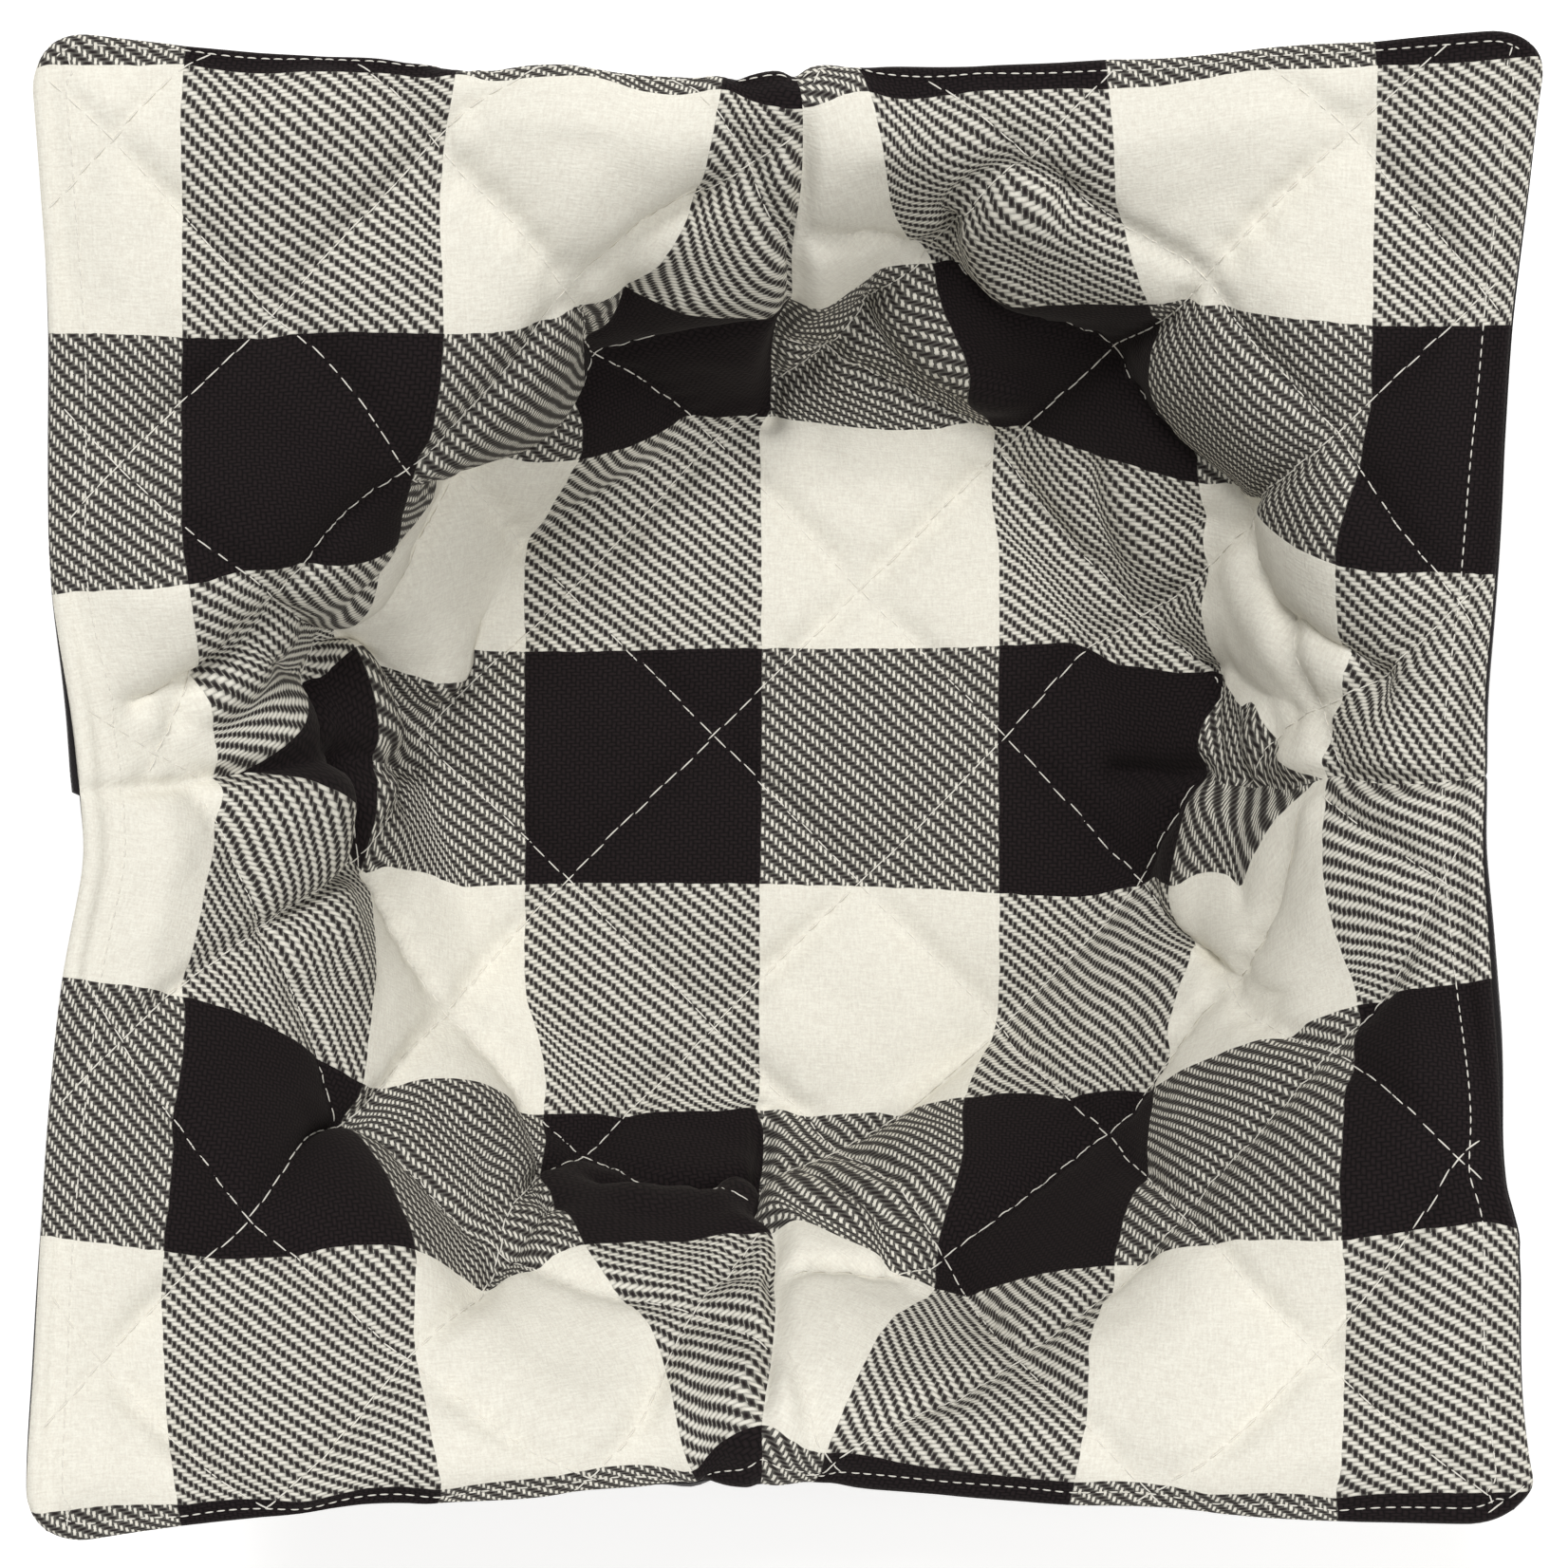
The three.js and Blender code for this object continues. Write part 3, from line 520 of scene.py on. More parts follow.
def soft_noise(u, v, size, seed):
    """Smooth noise from -1 to 1: random values on a square grid, joined by smooth steps."""
    side = NOISE_SIDE
    table = np.random.default_rng(seed).uniform(-1, 1, (side, side))
    a, b = u / size + side / 2, v / size + side / 2
    i, j = np.floor(a).astype(int), np.floor(b).astype(int)
    s, t = a - i, b - j
    s, t = s * s * (3 - 2 * s), t * t * (3 - 2 * t)
    i, j, after_i, after_j = i % side, j % side, (i + 1) % side, (j + 1) % side
    near = table[i, j] * (1 - s) + table[after_i, j] * s
    far = table[i, after_j] * (1 - s) + table[after_i, after_j] * s
    return near * (1 - t) + far * t


def quilt_drift(u, v):
    """Distances of the falling and of the rising lines from their even places: Gaussians."""
    falling, rising = np.zeros_like(u), np.zeros_like(u)
    for at_u, at_v, reach, fall, rise in QUILT_DRIFT:
        near = np.exp(-((u - at_u) ** 2 + (v - at_v) ** 2) / reach ** 2)
        falling, rising = falling + fall * near, rising + rise * near
    return falling, rising


def quilting(u, v):
    """Puff from 0 on a quilting line to 1 between lines, a product of one less two Gaussians of
    the distance from each line, and puckers, sine waves along the lines and faded beside them."""
    puff, puckers = 1.0, 0.0
    falling, rising = quilt_drift(u, v)
    for k, (across, along) in enumerate((
            ((u - QUILT_U + v - QUILT_V) / math.sqrt(2) - falling, (u - v) / math.sqrt(2)),
            ((u - QUILT_U - v + QUILT_V) / math.sqrt(2) - rising, (u + v) / math.sqrt(2)))):
        line = np.round(across / QUILT_SPACING)
        off = np.abs(across - QUILT_SPACING * line)
        puff = puff * (1 - WIDE_DIP * np.exp(-(off / WIDE_REACH) ** 2)
                       - NARROW_DIP * np.exp(-(off / NARROW_REACH) ** 2))
        # Every line reads its own stretch of the noise.
        wander = soft_noise(along + 40 * line, line * 17, PHASE_SIZE, 5 + k)
        strength = 0.5 + 0.5 * soft_noise(along + 90 * line, line * 31, STRENGTH_SIZE, 8 + k)
        beside = np.exp(-(off - PUCKER_OFF) ** 2 / PUCKER_SPREAD)
        wave = np.sin(along / PUCKER_WAVE + 2.4 * line + 1.6 * wander)
        puckers = puckers + strength * wave * beside
    return puff, puckers


def crease_relief(u, v):
    """Sum of the creases: each a Gaussian of the distance from its line of straight pieces."""
    relief = np.zeros_like(u)
    for width, height, *line in CREASES:
        nearest = np.full_like(u, 1e6)
        for start, end in zip(line, line[1:]):
            run_u, run_v = end[0] - start[0], end[1] - start[1]
            t = ((u - start[0]) * run_u + (v - start[1]) * run_v) / (run_u ** 2 + run_v ** 2)
            t = np.clip(t, 0, 1)
            off = np.hypot(u - start[0] - t * run_u, v - start[1] - t * run_v)
            nearest = np.minimum(nearest, off)
        relief += height * np.exp(-(nearest / width) ** 2)
    return relief


def thin_plate(distance):
    """Squared distance times its logarithm, the shape of a bent thin plate."""
    return distance ** 2 * np.log(np.maximum(distance, 1e-9))


def last_shift(share_u, share_v):
    """Shift of every place: a thin plate bent through the shifts of the table, nought at the
    other held crossings."""
    table = {(v, name): (0, 0, 0) for v, places in SECTIONS for name in places}
    for v, places in SHIFTS:
        for name, shift in places.items():
            table[v, name] = (*shift, 0)[:3] if isinstance(shift, tuple) else (0, shift, 0)
    u = np.array([COLUMN_U[name] for _, name in table])
    v = np.array([row for row, _ in table])
    x, y = shares_at(u, v) * np.array([[HALF_WIDTH], [HALF_LENGTH]])
    count = len(table)
    system = np.zeros((count + 3, count + 3))
    system[:count, :count] = thin_plate(np.hypot(x[:, None] - x, y[:, None] - y))
    system[:count, count:] = np.stack([np.ones(count), x, y], -1)
    system[count:, :count] = system[:count, count:].T
    known = np.zeros((count + 3, 3))
    known[:count] = np.array(list(table.values()))
    weights = np.linalg.solve(system, known)
    east, north = share_u * HALF_WIDTH, share_v * HALF_LENGTH
    shift = weights[count] + east[..., None] * weights[count + 1] + north[..., None] * weights[-1]
    for k in range(count):
        plate = thin_plate(np.hypot(east - x[k], north - y[k]))
        shift = shift + plate[..., None] * weights[k]
    return shift


class Surface:
    """The middle surface on a fine grid, with its flat places, normals and distances."""

    def __init__(self, spots, cells):
        self.tick = ticks(cells)
        self.square_u, self.square_v = np.meshgrid(self.tick, self.tick, indexing="ij")
        self.share_u, self.share_v = round_corners(self.square_u, self.square_v)
        self.point = cloth_at(spots, self.share_u, self.share_v)
        self.quarter = flat_place(self.share_u, self.share_v)
        self.u = np.sign(self.share_u) * self.quarter[..., 0]
        self.v = np.sign(self.share_v) * self.quarter[..., 1]
        self.from_rim = rim_distance(self.square_u, self.square_v)
        off_u, off_v = np.abs(self.share_u) * HALF_WIDTH, np.abs(self.share_v) * HALF_LENGTH
        beyond_u = np.maximum(0, DART_TIP - off_u)
        beyond_v = np.maximum(0, DART_TIP - off_v)
        self.from_seam = np.minimum(np.hypot(off_u, beyond_v), np.hypot(off_v, beyond_u))
        self.outwards = unit(np.stack([self.square_u, self.square_v], -1) ** CORNER_POWER)
        shift = last_shift(self.share_u, self.share_v)
        self.off_floor = np.clip((self.point[..., 2] - FLOOR_FROM) / (FLOOR_TO - FLOOR_FROM), 0, 1)
        shift[..., 2] *= self.off_floor
        self.point = self.point + shift
        self.normal = self.smooth_normals()
        self.creases = crease_relief(self.u + shift[..., 0], self.v + shift[..., 1])
        self.point = self.point + self.normal * (self.creases * self.off_floor)[..., None]
        self.point[..., 2] = np.maximum(self.point[..., 2], 0)
        self.normal = self.smooth_normals()

    def smooth_normals(self):
        """Facing of the surface, averaged over its neighbours so that tight folds stay open."""
        normal = unit(np.cross(*np.gradient(self.point, axis=(0, 1))))
        for _ in range(NORMAL_ROUNDS):
            grid = with_border(normal)
            normal = unit(grid[:-2, 1:-1] + grid[2:, 1:-1] + grid[1:-1, :-2] + grid[1:-1, 2:]
                          + 4 * normal)
        return normal

    def face(self, height):
        """The surface moved along its normals by a height in millimetres."""
        return self.point + self.normal * height[..., None]

    def edge_shown(self):
        """Shift of the backing outwards near the rim, by the widths of BACKING_EDGES."""
        width = np.zeros_like(self.u)
        for u, v, reach, shown in BACKING_EDGES:
            width += shown * np.exp(-(np.hypot(self.u - u, self.v - v) / reach) ** 4)
        fade = np.clip(1 - self.from_rim / BACKING_REACH, 0, 1) ** 1.5
        return np.dstack([self.outwards * (width * fade)[..., None], np.zeros_like(width)])

    def cell_of(self, share_u, share_v):
        """Grid cell and position in it for shares."""
        square_u, square_v = round_corners(share_u, share_v, back=True)
        order = np.arange(len(self.tick), dtype=float)
        return np.interp(square_u, self.tick, order), np.interp(square_v, self.tick, order)


def on_grid(values, at_i, at_j):
    """Values at places between grid points, in straight lines both ways."""
    i = np.minimum(at_i.astype(int), values.shape[0] - 2)
    j = np.minimum(at_j.astype(int), values.shape[1] - 2)
    s, t = (at_i - i)[..., None], (at_j - j)[..., None]
    return ((values[i, j] * (1 - s) + values[i + 1, j] * s) * (1 - t)
            + (values[i, j + 1] * (1 - s) + values[i + 1, j + 1] * s) * t)


def rim_roll(from_rim):
    """Thickness that rolls over towards the rim as a quarter ellipse."""
    t = np.clip(from_rim / RIM_ROLL, 0, 1)
    return RIM_THICKNESS + (PANEL_THICKNESS - RIM_THICKNESS) * np.sqrt(1 - (1 - t) ** 2)


def in_scene(name, data):
    """An object in the scene, at the origin."""
    thing = bpy.data.objects.new(name, data)
    bpy.context.scene.collection.objects.link(thing)
    return thing


def new_mesh(name, points, quads, material, uv=None):
    """A smooth mesh from points, faces of four corners, and flat places, in millimetres."""
    mesh = bpy.data.meshes.new(name)
    mesh.from_pydata(np.reshape(points, (-1, 3)) * MM, [], quads, shade_flat=False)
    if uv is not None:
        layer = mesh.uv_layers.new(name="flat cloth")
        layer.data.foreach_set("uv", (uv * MM).astype(np.float32).ravel())
    mesh.materials.append(material)
    mesh.validate()
    return in_scene(name, mesh)


def cell_corners(grid):
    """The four corners of every cell of a grid, in turn."""
    return np.stack([grid[:-1, :-1], grid[1:, :-1], grid[1:, 1:], grid[:-1, 1:]], 2)


def panel(name, surface, lower, upper, material, shift=0.0):
    """A closed panel between two heights over the middle surface, with its flat places in
    metres as texture coordinates; a dart's two edges keep their own. Where the rim rolls over,
    the flat places run on outwards by the depth of the roll."""
    side = len(surface.tick)
    index = np.arange(side * side).reshape(side, side)
    turned = [0, 3, 2, 1]
    top = cell_corners(index) + side * side
    bottom = cell_corners(index)[:, :, turned]
    rolled = PANEL_THICKNESS - rim_roll(surface.from_rim)
    reach = surface.quarter + np.abs(surface.outwards) * (ROLLED_SHARE * rolled)[..., None]
    sign = np.where(np.indices((side - 1, side - 1)) < side // 2, -1, 1).transpose(1, 2, 0)
    flat = cell_corners(reach) * sign[:, :, None]
    loop = np.concatenate([index[:-1, 0], index[-1, :-1], index[:0:-1, -1], index[0, :0:-1]])
    after = np.roll(loop, -1)
    wall = np.stack([loop, after, after + side * side, loop + side * side], -1)
    signs = np.sign(np.stack([surface.share_u, surface.share_v], -1)).reshape(-1, 2)
    place = reach.reshape(-1, 2) * np.where(signs == 0, 1, signs)
    under = place + surface.outwards.reshape(-1, 2) * RIM_THICKNESS
    wall_uv = np.stack([under[loop], under[after], place[after], place[loop]], 1)
    uv = np.concatenate([part.reshape(-1, 2) for part in (flat, flat[:, :, turned], wall_uv)])
    points = np.concatenate([(surface.face(lower) + shift).reshape(-1, 3),
                             (surface.face(upper) + shift).reshape(-1, 3)])
    points[:, 2] += MIDDLE_HEIGHT
    quads = np.concatenate([part.reshape(-1, 4) for part in (top, bottom, wall)])
    return new_mesh(name, points, quads, material, uv)


def stitches(name, surface, height, side, runs, stitch, material):
    """Thread laid on a face, side 1 above or -1 below: each stitch is a bowed tube of six-sided
    rings along its flat places, that dips into the cloth at both ends."""
    at_u, at_v = runs
    at_i, at_j = surface.cell_of(*shares_at(at_u, at_v))
    point = on_grid(surface.face(height) + np.array([0, 0, MIDDLE_HEIGHT]), at_i, at_j)
    normal = unit(on_grid(surface.normal, at_i, at_j)) * side
    count, rings = at_u.shape
    corners = THREAD_CORNERS
    bow = np.sin(np.pi * np.linspace(0, 1, rings)) ** 0.5
    point = point + normal * (stitch["lift"] * (1.5 * bow - 0.75))[:, None]
    along = unit(np.gradient(point, axis=1))
    aside = unit(np.cross(along, normal))
    up = np.cross(aside, along)
    angle = np.arange(corners) * 2 * np.pi / corners
    radius = stitch["radius"] * (THREAD_END + (1 - THREAD_END) * bow)
    ring = (aside[:, :, None] * np.cos(angle)[:, None]
            + up[:, :, None] * THREAD_FLATNESS * np.sin(angle)[:, None])
    points = point[:, :, None] + ring * radius[:, None, None]
    index = np.arange(count * rings * corners).reshape(count, rings, corners)
    around = np.roll(index, -1, axis=2)
    tube = np.stack([index[:, :-1], around[:, :-1], around[:, 1:], index[:, 1:]], -1)
    caps = np.concatenate([np.stack([end[:, [0, 1, 2, 3]], end[:, [0, 3, 4, 5]]], 1)
                           for end in (index[:, 0, ::-1], index[:, -1])])
    quads = np.concatenate([tube.reshape(-1, 4), caps.reshape(-1, 4)])
    return new_mesh(name, points, quads, material)


def quilting_runs(random):
    """Flat places along every quilting stitch, on both families of lines, each a little off its
    even place, where they are clear of the rim and of the darts."""
    pitch, uneven = QUILT_STITCH["pitch"], QUILT_STITCH["uneven"]
    t = np.linspace(-0.5, 0.5, QUILT_STITCH["rings"]) * QUILT_STITCH["length"]
    at_u, at_v = [], []
    for k in range(-QUILT_LINES, QUILT_LINES + 1):
        for slope in (1, -1):
            along = np.arange(-QUILT_LINE_HALF, QUILT_LINE_HALF, pitch)
            along = along + random.uniform(-uneven, uneven, along.shape)
            run = (along + random.uniform(0, pitch))[:, None] + t
            stray = random.uniform(-QUILT_LINE_UNEVEN, QUILT_LINE_UNEVEN, (len(along), 1))
            off = k * QUILT_SPACING + stray
            even_u = QUILT_U + (run + slope * off) / math.sqrt(2)
            even_v = QUILT_V + (-slope * run + off) / math.sqrt(2)
            falling, rising = quilt_drift(even_u, even_v)
            drift = (falling if slope == 1 else rising) / math.sqrt(2)
            at_u.append(even_u + drift)
            at_v.append(even_v + slope * drift)
    at_u, at_v = np.concatenate(at_u), np.concatenate(at_v)
    share_u, share_v = shares_at(at_u, at_v)
    square_u, square_v = round_corners(share_u, share_v, back=True)
    from_rim = rim_distance(square_u, square_v)
    place = flat_place(share_u, share_v)
    error = np.hypot(place[..., 0] - np.abs(at_u), place[..., 1] - np.abs(at_v))
    off_u, off_v = np.abs(share_u) * HALF_WIDTH, np.abs(share_v) * HALF_LENGTH
    from_seam = np.minimum(np.where(off_v > DART_TIP - 1, off_u, HALF_WIDTH),
                           np.where(off_u > DART_TIP - 1, off_v, HALF_WIDTH))
    keep = ((from_rim.min(1) > CLEAR_OF_RIM) & (error.max(1) < OFF_THE_CLOTH)
            & (from_seam.min(1) > CLEAR_OF_SEAM))
    return at_u[keep], at_v[keep]


def topstitch_runs(random):
    """Flat places along every topstitch: a square ring inside the rim, rounded at its corners."""
    uneven = EDGE_STITCH["uneven"]
    t = np.linspace(-0.5, 0.5, EDGE_STITCH["rings"]) * EDGE_STITCH["length"]
    corner = 1 - TOPSTITCH_CORNER_IN / HALF_WIDTH
    side_u, side_v = [], []
    for direction, inside_rim in enumerate(TOPSTITCH_IN):
        stations = np.arange(-TOPSTITCH_HALF, TOPSTITCH_HALF, EDGE_STITCH["pitch"])
        stations = stations + random.uniform(-uneven, uneven, stations.shape)
        run = (stations[:, None] + t) / TOPSTITCH_HALF * corner
        edge = np.full_like(run, 1 - inside_rim / HALF_WIDTH)
        for _ in range(direction):
            run, edge = -edge, run
        side_u.append(run)
        side_v.append(edge)
    share_u, share_v = round_corners(np.concatenate(side_u), np.concatenate(side_v))
    place = flat_place(share_u, share_v)
    return np.sign(share_u) * place[..., 0], np.sign(share_v) * place[..., 1]


def linear(code):
    """An sRGB hex code as linear red, green, blue and alpha."""
    parts = [int(code[k:k + 2], 16) / 255 for k in (1, 3, 5)]
    return [p / 12.92 if p <= 0.04045 else ((p + 0.055) / 1.055) ** 2.4 for p in parts] + [1.0]


def add_node(tree, kind, inputs=None, **settings):
    """A node with its settings; an input is a constant or another node's output."""
    node = tree.nodes.new(kind)
    for name, value in settings.items():
        setattr(node, name, value)
    for name, value in (inputs or {}).items():
        if isinstance(value, bpy.types.NodeSocket):
            tree.links.new(value, node.inputs[name])
        else:
            node.inputs[name].default_value = value
    return node


def new_material(name):
    """A material with only its output and its shader."""
    material = bpy.data.materials.new(name)
    material.use_nodes = True
    tree = material.node_tree
    tree.nodes.clear()
    return material, tree


def add_steps(tree, made, **steps):
    """Nodes for sums, in their order: a name, then its operation and inputs, where a word is the
    output of that name. MIX and BLEND take a share, and the values or colours at 0 and at 1."""
    for name, (operation, *inputs) in steps.items():
        inputs = [made[value] if isinstance(value, str) else value for value in inputs]
        if operation == "MIX":
            node = add_node(tree, "ShaderNodeMix", dict(zip((0, 2, 3), inputs)))
        elif operation == "BLEND":
            node = add_node(tree, "ShaderNodeMix", dict(zip((0, 6, 7), inputs)), data_type="RGBA")
        else:
            node = add_node(tree, "ShaderNodeMath", dict(enumerate(inputs)), operation=operation)
        made[name] = node.outputs[2 if operation == "BLEND" else 0]


def finish_cloth(tree, colour, relief, strength, distance, looks):
    """The last nodes of a cloth or thread: its relief as bump, its shader and its output."""
    bump = add_node(tree, "ShaderNodeBump",
                    {"Height": relief, "Strength": strength, "Distance": distance})
    shader = add_node(tree, "ShaderNodeBsdfPrincipled",
                      {"Base Color": colour, "Normal": bump.outputs[0], **looks})
    add_node(tree, "ShaderNodeOutputMaterial", {"Surface": shader.outputs[0]})


# Checked twill: a warp end and a weft pick, the check's width and first lines, half of the share
# of an end that its yarn covers, and sizes in the cloth. Hairs have two sizes and a distortion.
END = 0.83 * MM
PICK = 0.67 * MM
CHECK = 43.7 * MM
FIRST_WARP_LINE = -132.6 * MM
FIRST_WEFT_LINE = -152.5 * MM
CREAM_HALF, BLACK_HALF = 0.28, 0.45
FRAY = 0.4
FIBRE = 0.385 * MM
SWAY, SWAY_SIZE = 0.7 * MM, 3.85 * MM
PATCH_SIZE = 22.2 * MM
HAIRS = dict(hair_u=(2.5 * MM, 0.455 * MM, 0.3), hair_v=(0.526 * MM, 2.22 * MM, 0.2))

# Backing and sewing thread, and how far a yarn and a fibre of the thread stand out.
BACKING_YARN = 0.45 * MM
BACKING_FIBRE = 0.556 * MM
THREAD_FIBRE = 0.25 * MM
YARN_RELIEF = 0.12 * MM
THREAD_RELIEF = 0.1 * MM


def checked_twill():
    """Yarn-dyed cotton 2/2 twill: soft matte yarns, each float a small oval bump, cream and
    black in equal checks, mixed to grey where a cream yarn crosses a black one."""
    material, tree = new_material("yarn dyed cotton twill, woven")
    uv = add_node(tree, "ShaderNodeUVMap", uv_map="flat cloth").outputs[0]
    wave = add_node(tree, "ShaderNodeTexNoise",
                    {"Vector": uv, "Scale": 1 / SWAY_SIZE, "Detail": 2.0})
    sway = add_node(tree, "ShaderNodeVectorMath", {0: wave.outputs["Color"], 1: (0.5, 0.5, 0.5)},
                    operation="SUBTRACT")
    moved = add_node(tree, "ShaderNodeVectorMath",
                     {0: sway.outputs[0], 1: (SWAY, SWAY, 0.0), 2: uv}, operation="MULTIPLY_ADD")
    split = add_node(tree, "ShaderNodeSeparateXYZ", {0: moved.outputs[0]})
    fibre = add_node(tree, "ShaderNodeTexNoise",
                     {"Vector": uv, "Scale": 1 / FIBRE, "Detail": 3.0, "Roughness": 0.6})
    patch = add_node(tree, "ShaderNodeTexNoise",
                     {"Vector": uv, "Scale": 1 / PATCH_SIZE, "Detail": 2.0})
    made = dict(u=split.outputs[0], v=split.outputs[1], fibre=fibre.outputs[0],
                patch=patch.outputs[0])
    # Brushing lays fine hairs along both threads, which hides the floats of the cream squares.
    for name, (size_u, size_v, distortion) in HAIRS.items():
        scaled = add_node(tree, "ShaderNodeVectorMath", {0: uv, 1: (1 / size_u, 1 / size_v, 0.0)},
                          operation="MULTIPLY")
        made[name] = add_node(tree, "ShaderNodeTexNoise", {
            "Vector": scaled.outputs[0], "Scale": 1.0, "Detail": 3.0, "Roughness": 0.65,
            "Distortion": distortion}).outputs[0]
    add_steps(
        tree, made,
        # The end and the pick, the place in each, and the twill's stage where they cross.
        x=("DIVIDE", "u", END), y=("DIVIDE", "v", PICK), end=("FLOOR", "x"), pick=("FLOOR", "y"),
        in_end=("FRACT", "x"), in_pick=("FRACT", "y"), sum=("ADD", "end", "pick"),
        stage=("FLOORED_MODULO", "sum", 4.0), warp_stage=("LESS_THAN", "stage", 1.5),
        # Their dye, by the column of checks of the end and the row of checks of the pick.
        column=("MULTIPLY_ADD", "end", END / CHECK, (END / 2 - FIRST_WARP_LINE) / CHECK),
        of_columns=("FLOORED_MODULO", "column", 2.0),
        warp_cream=("GREATER_THAN", "of_columns", 1.0),
        row=("MULTIPLY_ADD", "pick", PICK / CHECK, (PICK / 2 - FIRST_WEFT_LINE) / CHECK),
        of_rows=("FLOORED_MODULO", "row", 2.0), weft_cream=("LESS_THAN", "of_rows", 1.0),
        # The warp is seen where it floats, as wide as its yarn, with frayed sides.
        half=("MULTIPLY_ADD", "warp_cream", CREAM_HALF - BLACK_HALF, BLACK_HALF - FRAY / 2),
        frayed=("MULTIPLY_ADD", "fibre", FRAY, "half"),
        warp_seen=("COMPARE", "in_end", 0.5, "frayed"),
        warp_on_top=("MULTIPLY", "warp_stage", "warp_seen"),
        cream=("MIX", "warp_on_top", "weft_cream", "warp_cream"),
        # A float is rounded across its yarn, and along it over two crossings.
        across=("MIX", "warp_stage", "in_pick", "in_end"),
        run=("MIX", "warp_stage", "in_end", "in_pick"),
        part=("FLOORED_MODULO", "sum", 2.0), ahead=("ADD", "part", "run"),
        past=("SUBTRACT", "ahead", 1.0), from_centre=("ABSOLUTE", "past"),
        aside=("MULTIPLY_ADD", "across", 2.0, -1.0), from_middle=("ABSOLUTE", "aside"),
        drop_across=("POWER", "from_middle", 2.2), drop_along=("POWER", "from_centre", 3.0),
        round_across=("SUBTRACT", 1.0, "drop_across"), round_along=("SUBTRACT", 1.0, "drop_along"),
        float=("MULTIPLY", "round_across", "round_along"),
        # Colours. A black float is painted lighter on its rounded crest and darker at its sides, as
        # painted shade of the yarn's roundness. The sides of a float show some hairs of the other
        # yarn, and a cream float that crosses black is darker at its sides, partly from black hairs
        # and partly from painted shade between the yarns.
        hair=("ADD", "hair_u", "hair_v"), hair_share=("MULTIPLY_ADD", "hair", 2.5, -2.0),
        cream_shade=("BLEND", "hair_share", linear("#E2DDD0"), linear("#EEEBDE")),
        black_shade=("BLEND", "float", linear("#0B0809"), linear("#231C1D")),
        # Where cream crosses black, a cream float loses cream at its sides, partly to black hairs
        # and partly to painted shade between the yarns; a black float there gains cream hairs.
        dye_step=("SUBTRACT", "warp_cream", "weft_cream"), mixed=("ABSOLUTE", "dye_step"),
        float_side=("SUBTRACT", 1.0, "float"), hairs=("MULTIPLY", "mixed", "float_side"),
        on_black=("MULTIPLY", "hairs", 0.16), on_cream=("MULTIPLY_ADD", "hairs", -0.55, 1.0),
        cream_share=("MIX", "cream", "on_black", "on_cream"),
        yarn=("BLEND", "cream_share", "black_shade", "cream_shade"),
        fleck=("MULTIPLY_ADD", "fibre", 0.30, 0.85), fading=("MULTIPLY_ADD", "patch", 0.10, 0.95),
        tone=("MULTIPLY", "fleck", "fading"),
        # Relief of floats, fibres and hairs. Cream on cream is brushed smoother.
        all_cream=("MULTIPLY", "warp_cream", "weft_cream"),
        left=("MULTIPLY_ADD", "all_cream", -0.7, 1.0), floats=("MULTIPLY", "float", "left"),
        firm=("MULTIPLY_ADD", "fibre", 0.25, "floats"),
        brushed=("MULTIPLY_ADD", "all_cream", 0.9, 0.3),
        relief=("MULTIPLY_ADD", "hair", "brushed", "firm"))
    colour = add_node(tree, "ShaderNodeVectorMath", {0: made["yarn"], "Scale": made["tone"]},
                      operation="SCALE")
    finish_cloth(tree, colour.outputs[0], made["relief"], 0.5, YARN_RELIEF, {
        "Roughness": 0.9, "Specular IOR Level": 0.15, "Sheen Weight": 0.04,
        "Sheen Roughness": 0.5, "Sheen Tint": linear("#FFF4EA")})
    return material


def black_plain_weave():
    """Dyed plain-woven cotton: matte black with a fine even grain of yarns, its raised yarns
    painted lighter as painted shade.
    """
    material, tree = new_material("dyed cotton, plain woven")
    uv = add_node(tree, "ShaderNodeUVMap", uv_map="flat cloth").outputs[0]
    split = add_node(tree, "ShaderNodeSeparateXYZ", {0: uv})
    fibre = add_node(tree, "ShaderNodeTexNoise",
                     {"Vector": uv, "Scale": 1 / BACKING_FIBRE, "Detail": 3.0})
    made = dict(u=split.outputs[0], v=split.outputs[1], fibre=fibre.outputs[0])
    add_steps(
        tree, made,
        turn_u=("MULTIPLY", "u", math.pi / BACKING_YARN), wave_u=("SINE", "turn_u"),
        turn_v=("MULTIPLY", "v", math.pi / BACKING_YARN), wave_v=("SINE", "turn_v"),
        over_under=("MULTIPLY", "wave_u", "wave_v"),
        # The raised half of the weave is painted lighter and the sunken half darker: painted shade
        # of the yarns' relief.
        weave=("MULTIPLY_ADD", "over_under", 0.5, 0.5), shade=("MULTIPLY", "weave", "fibre"),
        colour=("BLEND", "shade", linear("#171415"), linear("#2B2728")),
        relief=("ADD", "weave", "fibre"))
    finish_cloth(tree, made["colour"], made["relief"], 0.5, YARN_RELIEF, {
        "Roughness": 0.92, "Specular IOR Level": 0.25, "Sheen Weight": 0.3,
        "Sheen Roughness": 0.5, "Sheen Tint": linear("#FFFFFF")})
    return material


def sewing_thread():
    """Spun cotton sewing thread: off-white, slightly lustrous, twisted."""
    material, tree = new_material("cotton sewing thread, spun")
    place = add_node(tree, "ShaderNodeTexCoord").outputs["Object"]
    fibre = add_node(tree, "ShaderNodeTexNoise",
                     {"Vector": place, "Scale": 1 / THREAD_FIBRE, "Detail": 2.0}).outputs[0]
    made = dict(fibre=fibre)
    add_steps(tree, made, colour=("BLEND", "fibre", linear("#DDD8CC"), linear("#EFECE2")))
    finish_cloth(tree, made["colour"], fibre, 0.4, THREAD_RELIEF,
                 {"Roughness": 0.75, "Sheen Weight": 0.2})
    return material


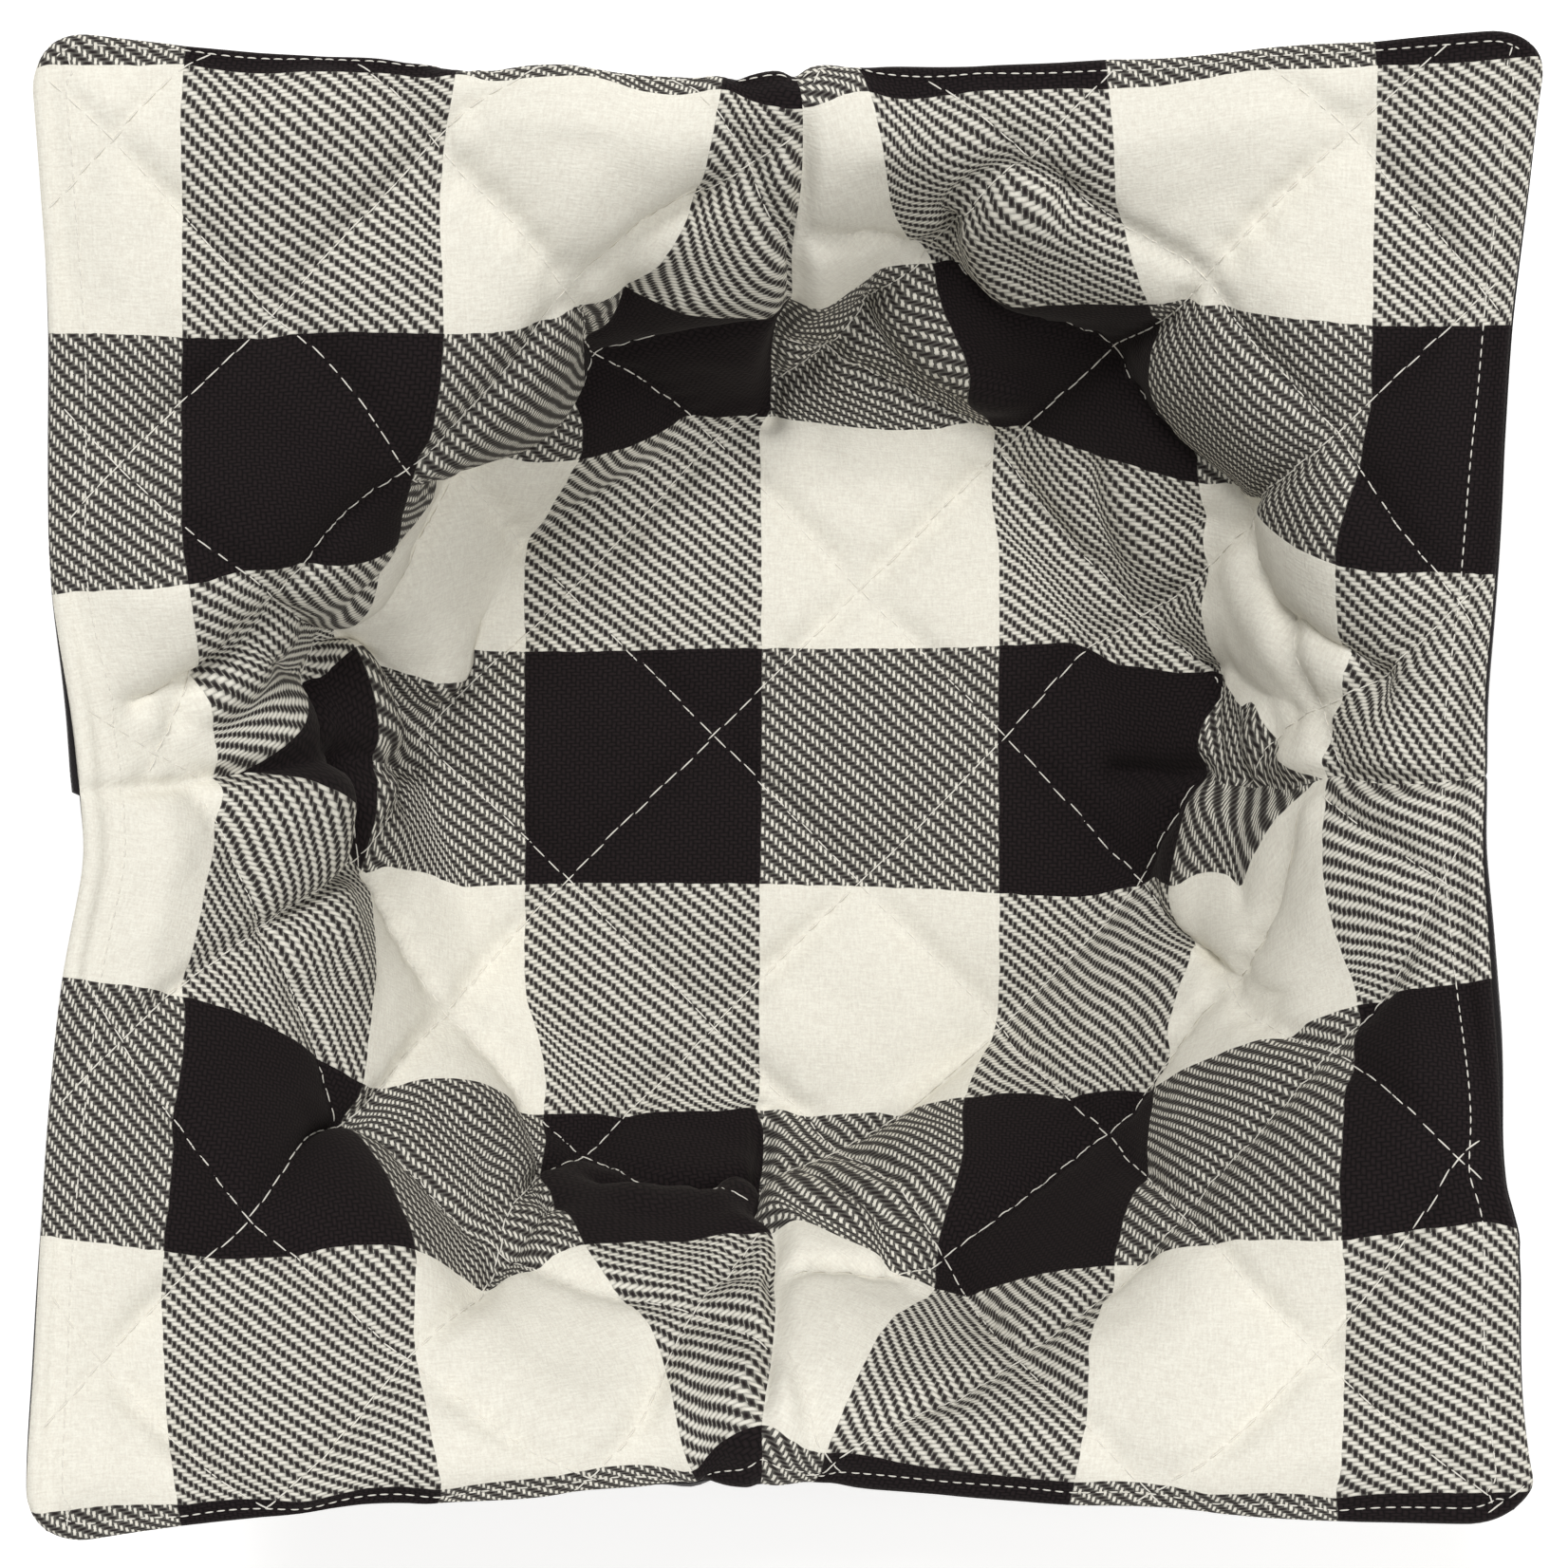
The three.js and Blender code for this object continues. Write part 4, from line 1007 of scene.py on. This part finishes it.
def studio_floor():
    """Opal acrylic sheet, satin finished and lit from below: even and almost white."""
    material, tree = new_material("opal acrylic sheet, satin finished")
    shader = add_node(tree, "ShaderNodeBsdfPrincipled", {
        "Base Color": linear("#FCFBF9"), "Roughness": 0.85, "Specular IOR Level": 0.2,
        "Emission Color": linear("#FFFFFF"), "Emission Strength": 0.4})
    add_node(tree, "ShaderNodeOutputMaterial", {"Surface": shader.outputs[0]})
    return material


random = np.random.default_rng(20)
cloth = settled_cloth()
surface = Surface(cloth, SURFACE_CELLS)

puff, puckers = quilting(surface.u, surface.v)
seam_dip = np.exp(-(surface.from_seam / SEAM_REACH) ** 2)
rim_dip = np.exp(-((surface.from_rim - RIM_DIP_IN) / RIM_DIP_REACH) ** 2)
inside = np.clip((surface.from_rim - FLAT_RIM) / RELIEF_RISE, 0, 1)
far_inside = np.clip(surface.from_rim / OUTER_RISE, 0, 1)
broad, fine = (soft_noise(surface.u, surface.v, size, 3 + k) for k, size in enumerate(UNEVEN_SIZES))
creases = np.clip(surface.creases * (1 - surface.off_floor), LOWEST_CREASE, HIGHEST_CREASE)

inner_relief = (INNER_PUFF * puff * (1 - seam_dip) + INNER_PUCKER * puckers * inside
                + UNEVENNESS * (broad + 0.5 * fine) + creases)
inner_relief = inner_relief * inside - SEAM_DIP * seam_dip - INNER_RIM_DIP * rim_dip
outer_relief = (OUTER_PUFF * puff + OUTER_PUCKER * puckers) * far_inside * surface.off_floor
outer_relief = outer_relief - OUTER_RIM_DIP * rim_dip

inner_top = PANEL_GAP / 2 + rim_roll(surface.from_rim) + inner_relief
outer_bottom = -PANEL_GAP / 2 - rim_roll(surface.from_rim) - outer_relief
gap_above = np.full_like(inner_top, PANEL_GAP / 2)

checked_cloth = panel("checked_panel", surface, gap_above, inner_top, checked_twill())
black_cloth = panel("black_backing", surface, outer_bottom, -gap_above, black_plain_weave(),
                    surface.edge_shown())

thread = sewing_thread()
quilt_runs = quilting_runs(random)
edge_runs = topstitch_runs(random)
inner_sewing, outer_sewing = (
    [stitches(f"{face}_stitching", surface, height, side, quilt_runs, QUILT_STITCH, thread),
     stitches(f"{face}_topstitch", surface, height, side, edge_runs, EDGE_STITCH, thread)]
    for face, height, side in (("inner", inner_top, 1), ("outer", outer_bottom, -1)))

for piece in (checked_cloth, black_cloth, *inner_sewing, *outer_sewing):
    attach(piece, "root")
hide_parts("inner_panel")
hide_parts("outer_panel")

# Studio, in metres: floor, lights as name, place, side and power, and the camera overhead.
FLOOR_HALF = 15.0
FLOOR_AT = -0.3 * MM
LIGHTS = [
    ("key light, above and a little left", (-0.5, 1.3, 2.3), 1.0, 41),
    ("fill light, right and a little below", (1.2, -0.5, 2.0), 1.5, 24),
]
LIT_POINT = (0, 0, 0.02)
ROOM_LIGHT = 0.3
CAMERA_AT = (0.00282, -0.0022, 0.7)
SENSOR = 36.0
FOCAL_PIXELS = 3976
FRAME_PIXELS = 1652

floor_mesh = bpy.data.meshes.new("floor")
floor_mesh.from_pydata([(x * FLOOR_HALF, y * FLOOR_HALF, 0)
                        for x, y in ((-1, -1), (1, -1), (1, 1), (-1, 1))], [], [(0, 1, 2, 3)])
floor_mesh.materials.append(studio_floor())
floor = in_scene("floor", floor_mesh)
floor.location.z = FLOOR_AT

for name, place, side, power in LIGHTS:
    light = bpy.data.lights.new(name, "AREA")
    light.shape, light.size, light.energy = "SQUARE", side, power
    lamp = in_scene(name, light)
    lamp.location = place
    east, north, up = np.subtract(LIT_POINT, place)
    lamp.rotation_euler = (math.atan2(math.hypot(east, north), -up), 0,
                           math.atan2(north, east) - math.pi / 2)

world = bpy.data.worlds.new("studio")
world.use_nodes = True
room = world.node_tree.nodes["Background"].inputs
room["Color"].default_value = linear("#FFFFFF")
room["Strength"].default_value = ROOM_LIGHT
bpy.context.scene.world = world
bpy.context.scene.view_settings.view_transform = "Standard"

camera = bpy.data.cameras.new("camera")
camera.sensor_width = SENSOR
camera.lens = SENSOR * FOCAL_PIXELS / FRAME_PIXELS
camera.dof.use_dof = False
view = in_scene("camera", camera)
view.location = CAMERA_AT
bpy.context.scene.camera = view

bpy.context.view_layer.update()
